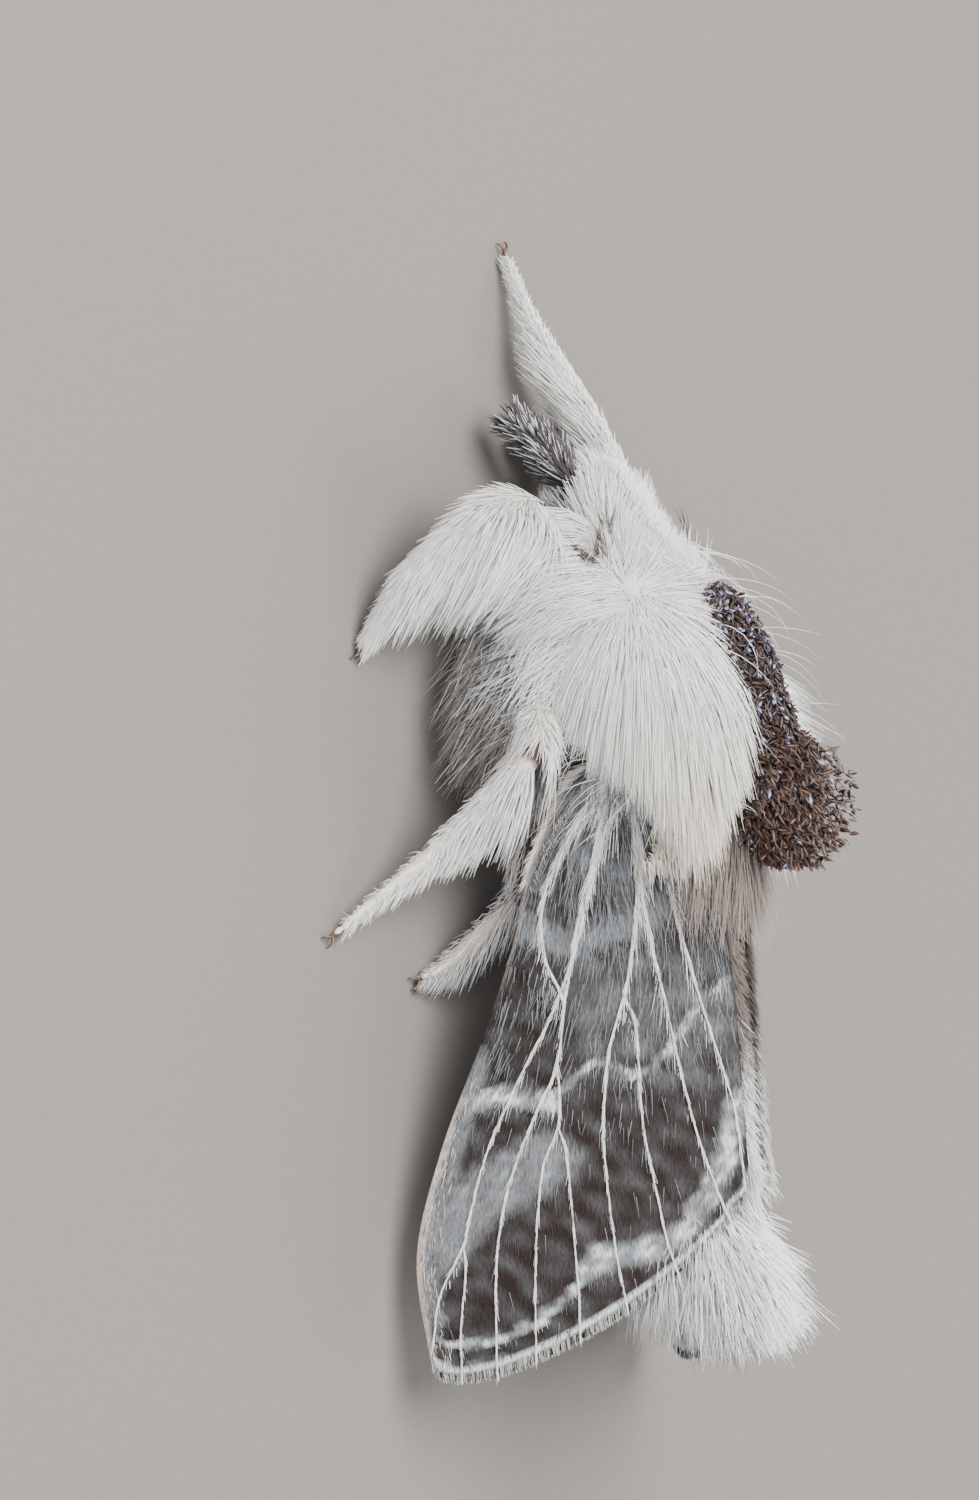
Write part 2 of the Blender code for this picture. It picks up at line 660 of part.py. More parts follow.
def main():
    clear_scene()
    legs = leg_forms()
    build_wings()
    build_legs(legs)
    build_head(legs)
    build_crest()
    build_thorax(legs)
    build_abdomen_and_tail()


main()
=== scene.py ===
"""Looks of a life-size large tolype moth at rest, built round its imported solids.

X points to the moth's left, Y to its tail and Z up, and its feet stand on the plane z = 0.
Sizes are in millimetres unless a name says otherwise; new_mesh turns them to metres.
"""

import math

import bmesh
import bpy
import numpy as np
from mathutils import Matrix, Vector


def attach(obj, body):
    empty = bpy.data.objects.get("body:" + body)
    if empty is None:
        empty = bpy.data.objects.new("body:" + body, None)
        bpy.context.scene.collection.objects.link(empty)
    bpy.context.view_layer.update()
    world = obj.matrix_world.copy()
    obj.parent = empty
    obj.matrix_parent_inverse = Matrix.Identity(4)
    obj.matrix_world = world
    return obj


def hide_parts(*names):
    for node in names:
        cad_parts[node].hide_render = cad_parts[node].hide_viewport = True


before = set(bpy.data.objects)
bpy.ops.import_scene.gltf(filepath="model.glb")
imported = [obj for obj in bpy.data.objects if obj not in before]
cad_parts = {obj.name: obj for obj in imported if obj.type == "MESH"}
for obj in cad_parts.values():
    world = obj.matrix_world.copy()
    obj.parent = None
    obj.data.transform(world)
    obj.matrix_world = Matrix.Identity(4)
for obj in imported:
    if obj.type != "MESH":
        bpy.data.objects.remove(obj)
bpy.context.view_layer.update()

MM = 0.001
SIDES = ((1, "left"), (-1, "right"))
UP = np.array([0.0, 0.0, 1.0])
BACK = np.array([0.0, 1.0, 0.0])

# The photograph's frame: pixels to the millimetre, and the pixel where x = y = z = 0 falls
PHOTO_SIZE = (979, 1500)
PHOTO_SCALE = 29.5
PHOTO_ZERO = (516, 815)
VIEW_ELEVATION = math.radians(35)
LENS_MM = 200.0
SENSOR_MM = 36.0
FOCUS_DEPTH = 6.0

# Body under the coat, from face to tail: back, centre height, half width, half height
BODY = np.array((
    (-11.9, 3.1, 0.4, 0.5),
    (-11.4, 3.1, 1.0, 1.1),
    (-10.6, 3.3, 1.4, 1.4),
    (-9.7, 3.8, 1.55, 1.6),
    (-8.9, 4.3, 1.6, 1.75),
    (-8.3, 4.7, 1.9, 2.0),
    (-7.2, 5.0, 2.6, 2.8),
    (-5.4, 5.1, 3.2, 3.4),
    (-3.2, 5.2, 3.3, 3.6),
    (-1.0, 5.3, 2.8, 3.4),
    (0.8, 5.0, 2.0, 2.3),
    (1.6, 4.2, 1.8, 1.8),
    (3.2, 3.5, 2.15, 2.15),
    (6.2, 3.5, 2.3, 2.3),
    (9.0, 4.1, 2.05, 2.05),
    (11.4, 5.6, 1.5, 1.6),
    (13.2, 7.5, 1.15, 1.25),
    (14.5, 8.3, 1.15, 1.3),
    (15.6, 8.8, 1.1, 1.2),
    (16.4, 9.1, 0.4, 0.5),
))
SKIN_INSET = 0.15
SKIN_VOXEL = 0.18

# Folded wings: a roof over the body, with its ridge rising towards the tail
ROOF_ANGLE = math.radians(52.0)
RIDGE_HEIGHT = 9.6
RIDGE_FROM = 2.9
RIDGE_RISE = 0.097
RIDGE_CLEAR = 0.65
FOREWING_COSTA = (
    (4.6, -1.9), (5.7, -0.9), (7.2, 1.6), (8.1, 4.4),
    (9.3, 7.4), (11.1, 11.4), (12.2, 15.0), (12.0, 18.5),
)
FOREWING_INNER = ((3.4, -1.4), (2.3, 0.6), (1.0, 3.0), (RIDGE_CLEAR, 6.0), (RIDGE_CLEAR, 12.2))
FOREWING_BULGE = 2.05
FOREWING = (FOREWING_COSTA, FOREWING_INNER, FOREWING_BULGE)
HINDWING_COSTA = ((4.6, -0.4), (5.2, 2.0), (6.5, 5.0), (8.2, 9.0), (9.4, 12.5), (9.0, 14.6))
HINDWING_INNER = ((3.4, 0.2), (2.2, 2.4), (1.9, 5.0), (1.9, 8.0), (1.9, 9.6))
HINDWING_BULGE = 1.3
HINDWING = (HINDWING_COSTA, HINDWING_INNER, HINDWING_BULGE)
HINDWING_DEPTH = 1.05
CAMBER = 0.55
SHEET_HALF = 0.12

# Forewing veins, as distance down the roof slope and back from the middle of the body
VEINS = (
    ((4.7, -0.9), (5.5, 0.1), (6.9, 2.6), (7.1, 4.6), (6.65, 6.0)),
    ((4.5, -0.9), (5.1, 1.4), (5.9, 4.2), (6.65, 6.0), (7.3, 7.3), (8.55, 9.4), (9.6, 11.5),
     (10.3, 13.5), (10.6, 14.5), (11.5, 16.2), (11.9, 17.9)),
    ((10.6, 14.5), (10.6, 15.4), (10.9, 17.3), (11.0, 18.9)),
    ((4.0, -1.0), (5.5, 2.5), (6.4, 5.8), (6.95, 8.4), (7.7, 9.9), (8.8, 12.2), (9.35, 14.1),
     (9.55, 15.3), (9.7, 16.9), (9.8, 18.8)),
    ((6.95, 8.4), (6.95, 9.3), (7.1, 10.5), (7.7, 11.9), (8.1, 14.1), (8.3, 16.0), (8.45, 18.3)),
    ((7.1, 10.5), (6.9, 11.4), (6.85, 13.6), (6.85, 16.1), (6.9, 17.5)),
    ((3.6, -1.2), (3.7, 1.0), (3.8, 3.0), (4.2, 5.0), (4.5, 6.1), (5.1, 7.8), (5.45, 9.6),
     (5.6, 11.4), (5.5, 14.3), (5.25, 16.6)),
    ((4.5, 6.1), (4.2, 7.3), (4.2, 10.4), (4.0, 12.2), (3.75, 14.1), (3.4, 15.6)),
    ((3.5, 0.4), (3.6, 2.4), (3.4, 4.4), (3.1, 6.4), (2.8, 8.5), (2.45, 10.5), (1.95, 12.4), (1.5, 13.7)),
    ((2.9, 0.6), (2.65, 2.4), (2.3, 4.4), (1.9, 6.3), (1.35, 8.5), (1.0, 10.2), (0.9, 12.4)),
)
# The veins' half widths at places from front to rear, their height, and the gap between hairs along them
VEIN_STATIONS = (-1.5, 2.5, 6.0, 18.0)
VEIN_HALVES = (0.08, 0.05, 0.035, 0.03)
VEIN_RIDGE = 0.07
VEIN_HAIR_GAP = 0.035
# Pale bands across the forewing: their line, half width and strength
BANDS = (
    (((5.9, 0.9), (5.2, 1.6), (4.1, 1.5)), 0.35, 0.7),
    (((7.5, 3.7), (6.4, 4.3), (5.5, 4.0), (4.3, 3.7), (2.9, 3.0), (1.9, 2.6)), 0.5, 0.75),
    (((10.0, 9.9), (9.3, 9.5), (8.15, 9.4), (7.4, 9.65), (6.5, 8.95), (5.8, 8.4), (5.3, 8.4),
      (4.2, 8.75), (3.2, 8.05), (2.0, 6.4), (1.35, 5.9), (0.6, 5.5)), 0.16, 0.85),
    (((9.9, 9.75), (9.2, 9.5), (8.15, 9.55), (7.4, 9.75)), 0.36, 0.92),
    (((11.6, 14.8), (10.7, 13.6), (9.9, 13.0), (9.0, 12.4), (8.4, 12.0), (7.3, 11.6)), 0.95, 0.66),
    (((9.6, 8.2), (10.3, 10.1), (11.2, 12.6), (11.8, 15.0), (11.9, 17.0)), 0.45, 0.6),
    (((11.8, 17.5), (11.1, 17.85), (9.9, 17.7), (8.8, 17.3), (7.9, 16.8), (7.1, 16.1), (6.5, 15.5),
      (5.8, 14.9)), 0.15, 0.9),
    (((6.4, 15.3), (5.8, 14.85), (4.7, 14.75), (3.6, 14.4), (2.9, 13.8), (2.1, 12.7), (1.4, 11.4),
      (0.9, 9.6)), 0.42, 0.85),
)
MARGIN_LINE = 0.42
MARGIN_HALF = 0.13

# Legs from hip through knee to foot; the right foreleg reaches forward past the face
FORELEG_LEFT = ((1.8, -6.8, 3.2), (4.0, -9.8, 3.7), (6.4, -10.3, 3.6), (8.6, -8.1, 1.7), (9.5, -5.6, 0.2))
FORELEG_RIGHT = (
    (-1.8, -7.0, 3.0), (-3.5, -10.0, 2.2), (-1.6, -13.0, 2.3), (0.35, -16.2, 1.3), (0.95, -19.3, 0.2),
)
MIDLEG = ((1.8, -4.6, 3.0), (3.9, -3.6, 3.6), (5.5, -2.1, 4.6), (7.1, 0.8, 2.2), (11.0, 4.0, 0.2))
HINDLEG = ((1.8, -1.4, 3.0), (2.9, 0.3, 2.6), (3.5, 2.5, 2.8), (4.7, 4.9, 0.8), (6.0, 5.6, 0.2))
LEG_RADII = (0.55, 0.6, 0.42, 0.34, 0.17)

EYE_PLACE = (1.05, -10.8, 3.3)
EYE_RADIUS = 0.62
PALPS = {1: ((0.7, -11.3, 2.9), (1.5, -12.4, 2.3), (2.6, -13.6, 1.5)),
         -1: ((-0.4, -11.3, 2.5), (-0.4, -12.3, 1.6), (0.3, -13.2, 0.8))}
ANTENNA = ((0.9, -10.7, 4.5), (1.5, -10.0, 4.7), (2.0, -8.9, 4.9), (2.75, -7.6, 5.0), (3.25, -6.3, 5.0))
# Half widths at root and tip, and of a comb tooth
PALP_HALVES = (0.42, 0.25)
SHAFT_HALVES = (0.12, 0.05)
CLAW_HALVES = (0.075, 0.015)
TOOTH_HALF = 0.03
# Crest from front to rear: back, centre height, half width, half height
CREST = (
    (-7.6, 7.9, 0.5, 0.8),
    (-6.4, 8.4, 0.85, 1.35),
    (-5.2, 8.9, 1.0, 1.6),
    (-3.9, 9.3, 1.1, 1.7),
    (-2.4, 9.8, 1.15, 1.8),
    (-0.9, 10.4, 1.1, 2.0),
    (0.5, 10.5, 0.85, 1.5),
    (1.4, 10.3, 0.4, 0.6),
)
# The way the tail hair points, and how far back its skin ends and its longest tips reach
TAIL_AIM = (0.0, 1.0, 0.34)
TAIL_START = 16.2
TAIL_TIPS = 18.9

# Whorl on each shoulder, from which the coat radiates
WHORL = np.array([2.5, -7.85, 6.3])

# A hair's half width, how deep it and a wing scale are rooted, its patch on the unwrap and lowest height
HAIR_HALF = 0.028
ROOT_DEPTH = 0.12
SCALE_DEPTH = 0.03
TUFT_PATCH = 0.003
FLOOR_CLEAR = 0.01
LOFT_SIDES = 24
FLOOR_HALF = 600.0


def linear(code):
    """An sRGB hex colour as linear red, green and blue."""
    parts = [int(code[place : place + 2], 16) / 255 for place in (0, 2, 4)]
    return np.array([((part + 0.055) / 1.055) ** 2.4 if part > 0.04045 else part / 12.92 for part in parts])


# Natural colours, with painted shade and painted glint colours among them
WHITE_HAIR = linear("FAF8F2")
COOL_HAIR = linear("F0F2F3")
CREAM_HAIR = linear("F3E8D0")
GREY_HAIR = linear("7E7672")
DARK_HAIR = linear("3A3230")
# Painted shade: white hair greyed, as it looks in shade
SHADED_WHITE_HAIR = linear("B4B0AD")
WING_GROUND = linear("221A18")
WING_DARK = linear("1B1513")
WING_PALE = linear("7F8387")
WING_BRIGHT = linear("C6CACD")
VEIN_WHITE = linear("DCDCD9")
CREST_BROWN = linear("30231C")
CREST_LIGHT = linear("533C30")
# Painted highlight: the blue-white colour of glints on the crest scales
CREST_PAINTED_GLINT = linear("AEB8E4")
CUTICLE_BROWN = linear("54382A")
COSTA_PINK = linear("CDBFB8")
STRAW_HAIR = linear("C9A67E")
CHEST_TIP = linear("77706D")
NAPE_ROOT = linear("3A3331")
NAPE_TIP = linear("5B5452")
PALP_ROOT = linear("322D2E")
PALP_TIP = linear("4B4647")
PALP_SKIN = linear("2E2A2B")
CREST_RUST = linear("66493A")
RIDGE_ROOT = linear("5A4D48")
RIDGE_TIP = linear("8F857E")
SEAM_BROWN = linear("6F6560")
CREST_SKIN = linear("2E221C")
LEG_SKIN = linear("CFC6BB")
HINDWING_GROUND = linear("5A5150")
HINDWING_PALE = linear("9A9796")
SPECK_BROWN = linear("4E423C")
SPECK_BEIGE = linear("C4BBB3")
FRINGE_PALE = linear("9DA09A")
FRINGE_BROWN = linear("4E443E")
TOOTH_ROOT = linear("6B5138")
TOOTH_TIP = linear("8A6D50")
EYE_DARK = linear("241A16")
FLAKE_GLOSS = linear("D4D8F4")
CARD_DARK = linear("6C6762")
CARD_LIGHT = linear("746F6A")
SHAFT_BROWN = linear("8C7158")


def unit(rows):
    return rows / np.maximum(np.linalg.norm(rows, axis=-1, keepdims=True), 1e-9)


def blend(first, second, share):
    """A mixture: all of the first at share 0 and all of the second at share 1."""
    return first * (1 - share) + second * share


def smooth(values, low, high):
    """0 at low, 1 at high and a soft step between; high may be the smaller."""
    share = np.clip((values - low) / (high - low), 0, 1)
    return share * share * (3 - 2 * share)


def smooth_path(points, steps):
    """Points on one smooth curve through the given ones, with a number of steps to each stretch."""
    points = np.array(points, float)
    ends = np.concatenate([[2 * points[0] - points[1]], points, [2 * points[-1] - points[-2]]])
    found = []
    for start in range(len(points) - 1):
        before, here, there, after = ends[start : start + 4]
        for t in np.arange(steps) / steps:
            bend = 2 * before - 5 * here + 4 * there - after
            twist = 3 * here - before - 3 * there + after
            found.append(here + 0.5 * t * (there - before + t * (bend + t * twist)))
    found.append(points[-1])
    return np.array(found)


def between(rows, shares):
    """Values at shares of the way along evenly spaced rows."""
    rows = np.array(rows, float)
    place = np.clip(shares, 0, 1) * (len(rows) - 1)
    low = np.minimum(place.astype(int), len(rows) - 2)
    part = place - low
    if rows.ndim > 1:
        part = part[..., None]
    return rows[low] + part * (rows[low + 1] - rows[low])


def body_at(back):
    return [np.interp(back, BODY[:, 0], BODY[:, column]) for column in (1, 2, 3)]


def on_body(back, angle):
    """Places and outward directions on the body, at angles round from the top in degrees."""
    height, width, tall = body_at(back)
    turn = np.radians(angle)
    place = np.stack([width * np.sin(turn), back, height + tall * np.cos(turn)], axis=-1)
    out = unit(np.stack([np.sin(turn) / width, np.zeros_like(back), np.cos(turn) / tall], axis=-1))
    return place, out


def body_out(place):
    height, width, tall = body_at(place[:, 1])
    flat = np.zeros(len(place))
    return unit(np.stack([place[:, 0] / width**2, flat, (place[:, 2] - height) / tall**2], axis=-1))


def off_body(place, clear):
    """Places pushed out to at least a clear height over the body, where the body is."""
    height, width, tall = body_at(place[:, 1])
    across = place[:, 0] / (width + clear)
    rise = (place[:, 2] - height) / (tall + clear)
    reach = np.maximum(np.hypot(across, rise), 1e-6)
    inside = (reach < 1) & (place[:, 1] > BODY[0, 0]) & (place[:, 1] < BODY[-1, 0])
    grow = np.where(inside, 1 / reach, 1.0)
    moved = place.copy()
    moved[:, 0] *= grow
    moved[:, 2] = height + (place[:, 2] - height) * grow
    return moved


def roof_out(side):
    return np.stack([side * math.sin(ROOF_ANGLE), 0 * side, math.cos(ROOF_ANGLE) + 0 * side], axis=-1)


def ridge_at(back):
    return RIDGE_HEIGHT + RIDGE_RISE * (back - RIDGE_FROM)


def on_roof(side, down, back, lift):
    """Points of a folded wing, given down the slope from the ridge, back, and out from it."""
    across = down * math.cos(ROOF_ANGLE) + lift * math.sin(ROOF_ANGLE)
    height = ridge_at(back) - down * math.sin(ROOF_ANGLE) + lift * math.cos(ROOF_ANGLE)
    return np.stack([side * across, back, height], axis=-1)


def off_roof(place, clear):
    """Places pushed out to at least a clear height over the folded wings, behind their roots."""
    side = np.where(place[:, 0] >= 0, 1.0, -1.0)
    lift = np.abs(place[:, 0]) * math.sin(ROOF_ANGLE)
    lift += (place[:, 2] - ridge_at(place[:, 1])) * math.cos(ROOF_ANGLE)
    need = np.where(place[:, 1] > -2.2, np.maximum(clear + 0.3 - lift, 0), 0)
    return place + roof_out(side) * need[:, None]


def scatter(seed, count):
    """A seeded draw, and evenly scattered pairs of numbers from 0 to 1 by steps of two irrational numbers."""
    draw = np.random.default_rng(seed)
    steps = np.arange(count)[:, None] * np.array([0.7548776662, 0.5698402910])
    return draw, (draw.random(2) + steps) % 1.0


def new_object(name, mesh, finish):
    made = bpy.data.objects.new(name, mesh)
    bpy.context.scene.collection.objects.link(made)
    mesh.materials.clear()
    mesh.materials.append(finish)
    return made


def piece(name, mesh, finish, nodes=()):
    """A finished piece of the moth, riding on its one body."""
    made = new_object(name, mesh, finish)
    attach(made, "root")
    if nodes:
        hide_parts(*nodes)


def new_mesh(name, bm):
    """A mesh in metres from a bmesh in millimetres."""
    bmesh.ops.recalc_face_normals(bm, faces=bm.faces[:])
    bmesh.ops.scale(bm, vec=(MM, MM, MM), verts=bm.verts[:])
    mesh = bpy.data.meshes.new(name)
    bm.to_mesh(mesh)
    bm.free()
    mesh.shade_smooth()
    return mesh


def set_tint(mesh, tints):
    layer = mesh.color_attributes.new(name="Tint", type="FLOAT_COLOR", domain="POINT")
    full = np.ones((len(mesh.vertices), 4), np.float32)
    full[:, :3] = tints
    layer.data.foreach_set("color", full.ravel())


def places_of(mesh):
    """A mesh's points in millimetres."""
    points = np.empty(len(mesh.vertices) * 3, np.float32)
    mesh.vertices.foreach_get("co", points)
    return points.reshape(-1, 3).astype(float) / MM


# Materials

def add_node(tree, kind, settings=None, links=None):
    """Adds one node, sets its values and links its sockets from others."""
    made = tree.nodes.new(kind)
    for name, value in (settings or {}).items():
        if name in made.inputs:
            made.inputs[name].default_value = value
        else:
            setattr(made, name, value)
    for name, source in (links or {}).items():
        tree.links.new(source, made.inputs[name])
    return made


def start_material(name, values):
    """A material with its Principled shader set, and its node tree and shader."""
    made = bpy.data.materials.new(name)
    made.use_nodes = True
    shader = made.node_tree.nodes["Principled BSDF"]
    for socket, value in values.items():
        shader.inputs[socket].default_value = value
    return made, made.node_tree, shader


def hair_material(name, roughness, sheen, glow=0.0):
    """Chitin hair, grown fine and hollow: matt and soft, and light that enters it leaves again nearby."""
    made, tree, shader = start_material(name, {
        "Roughness": roughness, "Sheen Weight": sheen, "IOR": 1.55, "Specular IOR Level": 0.2,
        "Subsurface Weight": glow, "Subsurface Radius": (1.0, 0.95, 0.9), "Subsurface Scale": 0.0003})
    tint = add_node(tree, "ShaderNodeAttribute", {"attribute_name": "Tint"})
    where = add_node(tree, "ShaderNodeTexCoord")
    # Tufts about 0.8 mm wide differ slightly in tone
    cloud = add_node(tree, "ShaderNodeTexNoise", {"Scale": 1250.0, "Detail": 2.0},
                     {"Vector": where.outputs["Object"]})
    tone = add_node(tree, "ShaderNodeMapRange", {"To Min": 0.92, "To Max": 1.05},
                    {"Value": cloud.outputs["Fac"]})
    mixed = add_node(tree, "ShaderNodeVectorMath", {"operation": "SCALE"},
                     {"Vector": tint.outputs["Color"], "Scale": tone.outputs["Result"]})
    tree.links.new(mixed.outputs["Vector"], shader.inputs["Base Color"])
    return made


def skin_material():
    """Thin soft cuticle under the coat, dull, with fine wrinkles 0.1 mm apart."""
    made, tree, shader = start_material("cuticle grown under hair", {"Roughness": 0.7, "IOR": 1.5})
    tint = add_node(tree, "ShaderNodeAttribute", {"attribute_name": "Tint"})
    where = add_node(tree, "ShaderNodeTexCoord")
    grain = add_node(tree, "ShaderNodeTexNoise", {"Scale": 9000.0, "Detail": 3.0},
                     {"Vector": where.outputs["Object"]})
    bump = add_node(tree, "ShaderNodeBump", {"Strength": 0.5, "Distance": 0.00004},
                    {"Height": grain.outputs["Fac"]})
    tree.links.new(tint.outputs["Color"], shader.inputs["Base Color"])
    tree.links.new(bump.outputs["Normal"], shader.inputs["Normal"])
    return made


def wing_material(name):
    """Overlapping flat wing scales about 0.1 mm long: matt, dusty, speckled along the veins."""
    made, tree, shader = start_material(name, {"Roughness": 0.8, "IOR": 1.5, "Specular IOR Level": 0.12})
    tint = add_node(tree, "ShaderNodeAttribute", {"attribute_name": "Tint"})
    vein = add_node(tree, "ShaderNodeAttribute", {"attribute_name": "VeinDistance"})
    room = add_node(tree, "ShaderNodeAttribute", {"attribute_name": "VeinHalf"})
    flat = add_node(tree, "ShaderNodeUVMap", {"uv_map": "WingPlace"})
    stretch = add_node(tree, "ShaderNodeMapping", {"Scale": (1.0, 0.22, 1.0)}, {"Vector": flat.outputs["UV"]})
    # Rows of scales: 0.06 mm across the wing and four times longer along it
    speck = add_node(tree, "ShaderNodeTexNoise", {"Scale": 16.0, "Detail": 2.0, "Roughness": 0.7},
                     {"Vector": stretch.outputs["Vector"]})
    tone = add_node(tree, "ShaderNodeMapRange",
                    {"From Min": 0.3, "From Max": 0.7, "To Min": 0.6, "To Max": 1.4},
                    {"Value": speck.outputs["Fac"]})
    ground = add_node(tree, "ShaderNodeVectorMath", {"operation": "SCALE"},
                      {"Vector": tint.outputs["Color"], "Scale": tone.outputs["Result"]})
    share = add_node(tree, "ShaderNodeMath", {"operation": "DIVIDE"},
                     {0: vein.outputs["Fac"], 1: room.outputs["Fac"]})
    mask = add_node(tree, "ShaderNodeMapRange",
                    {"From Min": 0.7, "From Max": 1.2, "To Min": 1.0, "To Max": 0.0},
                    {"Value": share.outputs["Value"]})
    mixed = add_node(tree, "ShaderNodeMix", {"data_type": "RGBA"}, {"Factor": mask.outputs["Result"]})
    mixed.inputs[7].default_value = (*VEIN_WHITE, 1.0)
    tree.links.new(ground.outputs["Vector"], mixed.inputs[6])
    bump = add_node(tree, "ShaderNodeBump", {"Strength": 0.6, "Distance": 0.00003},
                    {"Height": speck.outputs["Fac"]})
    tree.links.new(mixed.outputs[2], shader.inputs["Base Color"])
    tree.links.new(bump.outputs["Normal"], shader.inputs["Normal"])
    return made


def crest_material():
    """Leaf-shaped crest scales, thin ridged chitin: glossy, so that each catches a glint; the blue-violet
    glints are painted highlights.
    """
    made, tree, shader = start_material("curled crest scales of chitin", {
        "Roughness": 0.4, "IOR": 1.5, "Specular IOR Level": 0.4, "Coat Weight": 0.3,
        "Coat Roughness": 0.08, "Coat Tint": (*FLAKE_GLOSS, 1.0)})
    tint = add_node(tree, "ShaderNodeAttribute", {"attribute_name": "Tint"})
    tree.links.new(tint.outputs["Color"], shader.inputs["Base Color"])
    return made


def eye_material():
    """Compound eye of clear chitin over dark pigment: glossy, with facets 0.03 mm across."""
    made, tree, shader = start_material("compound eye of faceted chitin", {
        "Base Color": (*EYE_DARK, 1.0), "Roughness": 0.22, "IOR": 1.56})
    where = add_node(tree, "ShaderNodeTexCoord")
    facet = add_node(tree, "ShaderNodeTexVoronoi", {"Scale": 14000.0}, {"Vector": where.outputs["Object"]})
    bump = add_node(tree, "ShaderNodeBump", {"Strength": 0.7, "Distance": 0.00001},
                    {"Height": facet.outputs["Distance"]})
    tree.links.new(bump.outputs["Normal"], shader.inputs["Normal"])
    return made


def horn_material(name, colour, roughness):
    """Hard brown chitin, as of claws and feelers: smooth, with a low gloss and streaks along it."""
    made, tree, shader = start_material(name, {"Roughness": roughness, "IOR": 1.56})
    where = add_node(tree, "ShaderNodeTexCoord")
    streak = add_node(tree, "ShaderNodeTexNoise", {"Scale": 5000.0, "Detail": 3.0},
                      {"Vector": where.outputs["Object"]})
    tone = add_node(tree, "ShaderNodeMix", {"data_type": "RGBA"}, {"Factor": streak.outputs["Fac"]})
    tone.inputs[6].default_value = (*(colour * 0.6), 1.0)
    tone.inputs[7].default_value = (*(colour * 1.3), 1.0)
    tree.links.new(tone.outputs[2], shader.inputs["Base Color"])
    return made


def floor_material():
    """Plain matt card under the moth, pale and even."""
    made, tree, shader = start_material("matt pale card", {"Roughness": 0.9})
    where = add_node(tree, "ShaderNodeTexCoord")
    fibre = add_node(tree, "ShaderNodeTexNoise", {"Scale": 3000.0, "Detail": 4.0},
                     {"Vector": where.outputs["Object"]})
    tone = add_node(tree, "ShaderNodeMix", {"data_type": "RGBA"}, {"Factor": fibre.outputs["Fac"]})
    tone.inputs[6].default_value = (*CARD_DARK, 1.0)
    tone.inputs[7].default_value = (*CARD_LIGHT, 1.0)
    tree.links.new(tone.outputs[2], shader.inputs["Base Color"])
    return made


# Hair, grown as centre lines and then given three sides

def grow(roots, outs, flow, lengths, rise, sections, keep=None, stiff=0.5, sunk=ROOT_DEPTH):
    """Centre lines of hairs: each leaves its root, bends over and then follows the coat's flow."""
    place = roots - outs * sunk
    lines = [place]
    heading = unit(outs * np.reshape(rise, (-1, 1)) + flow(roots, outs))
    step = (lengths / (sections - 1))[:, None]
    for index in range(1, sections):
        place = place + heading * step
        if keep:
            place = keep(place, index / (sections - 1))
        lines.append(place)
        heading = unit(heading * stiff + flow(place, outs) * (1 - stiff))
    return np.stack(lines, axis=1)


def straight(lie):
    """The flow of hairs that each keep one direction."""
    return lambda place, outs: lie


def bow(roots, outs, first, second, sections, keep=None):
    """Centre lines of hairs that stand off along a first reach and then bend into a second."""
    start = roots - outs * ROOT_DEPTH
    corner = start + first
    end = corner + second
    lines = []
    for share in np.linspace(0, 1, sections):
        place = start * (1 - share) ** 2 + corner * 2 * share * (1 - share) + end * share**2
        lines.append(keep(place, share) if keep and share > 0 else place)
    return np.stack(lines, axis=1)


def off_limb(place, path, radii, clear):
    """Places pushed out of a leg along its centre line."""
    gaps = np.linalg.norm(place[:, None] - path[None], axis=2) - radii[None]
    nearest = gaps.argmin(axis=1)
    away = place - path[nearest]
    apart = np.linalg.norm(away, axis=1, keepdims=True)
    reach = np.maximum(apart, radii[nearest][:, None] + clear)
    return path[nearest] + away / np.maximum(apart, 1e-6) * reach


def above_floor(place, clear=0.08):
    place[:, 2] = np.maximum(place[:, 2], clear)
    return place


def gather(lines, size, pull, draw):
    """Draws the tips of hairs that grow together into tufts of about a given number."""
    leaders = np.sort(draw.choice(len(lines), max(len(lines) // size, 1), replace=False))
    nearest = np.empty(len(lines), int)
    for start in range(0, len(lines), 2000):
        roots = lines[start : start + 2000, 0]
        gaps = ((roots[:, None] - lines[leaders, 0][None]) ** 2).sum(axis=2)
        nearest[start : start + 2000] = gaps.argmin(axis=1)
    shares = np.linspace(0, 1, lines.shape[1])[None, :, None] ** 1.5
    leader = lines[leaders[nearest]]
    strength = pull * draw.uniform(0.5, 1.0, (len(lines), 1, 1))
    return lines + (leader - lines) * shares * strength


def waver(lines, size, draw):
    """Lets hairs stray sideways more and more towards their tips."""
    shares = np.linspace(0, 1, lines.shape[1])[None, :, None]
    return lines + draw.normal(0, size, (len(lines), 1, 3)) * shares**1.6


def tone_hairs(lines, root_colour, tip_colour, vary, draw):
    """Colours along each hair from root to tip, each hair a little lighter or darker."""
    shares = np.linspace(0, 1, lines.shape[1])[None, :, None]
    tone = draw.normal(1, vary, (len(lines), 1, 1)).clip(0.5, 1.35)
    # In the fur coats a root colour given as the tip colour darkened is painted shade deep in the coat
    return blend(root_colour, tip_colour, shares) * tone


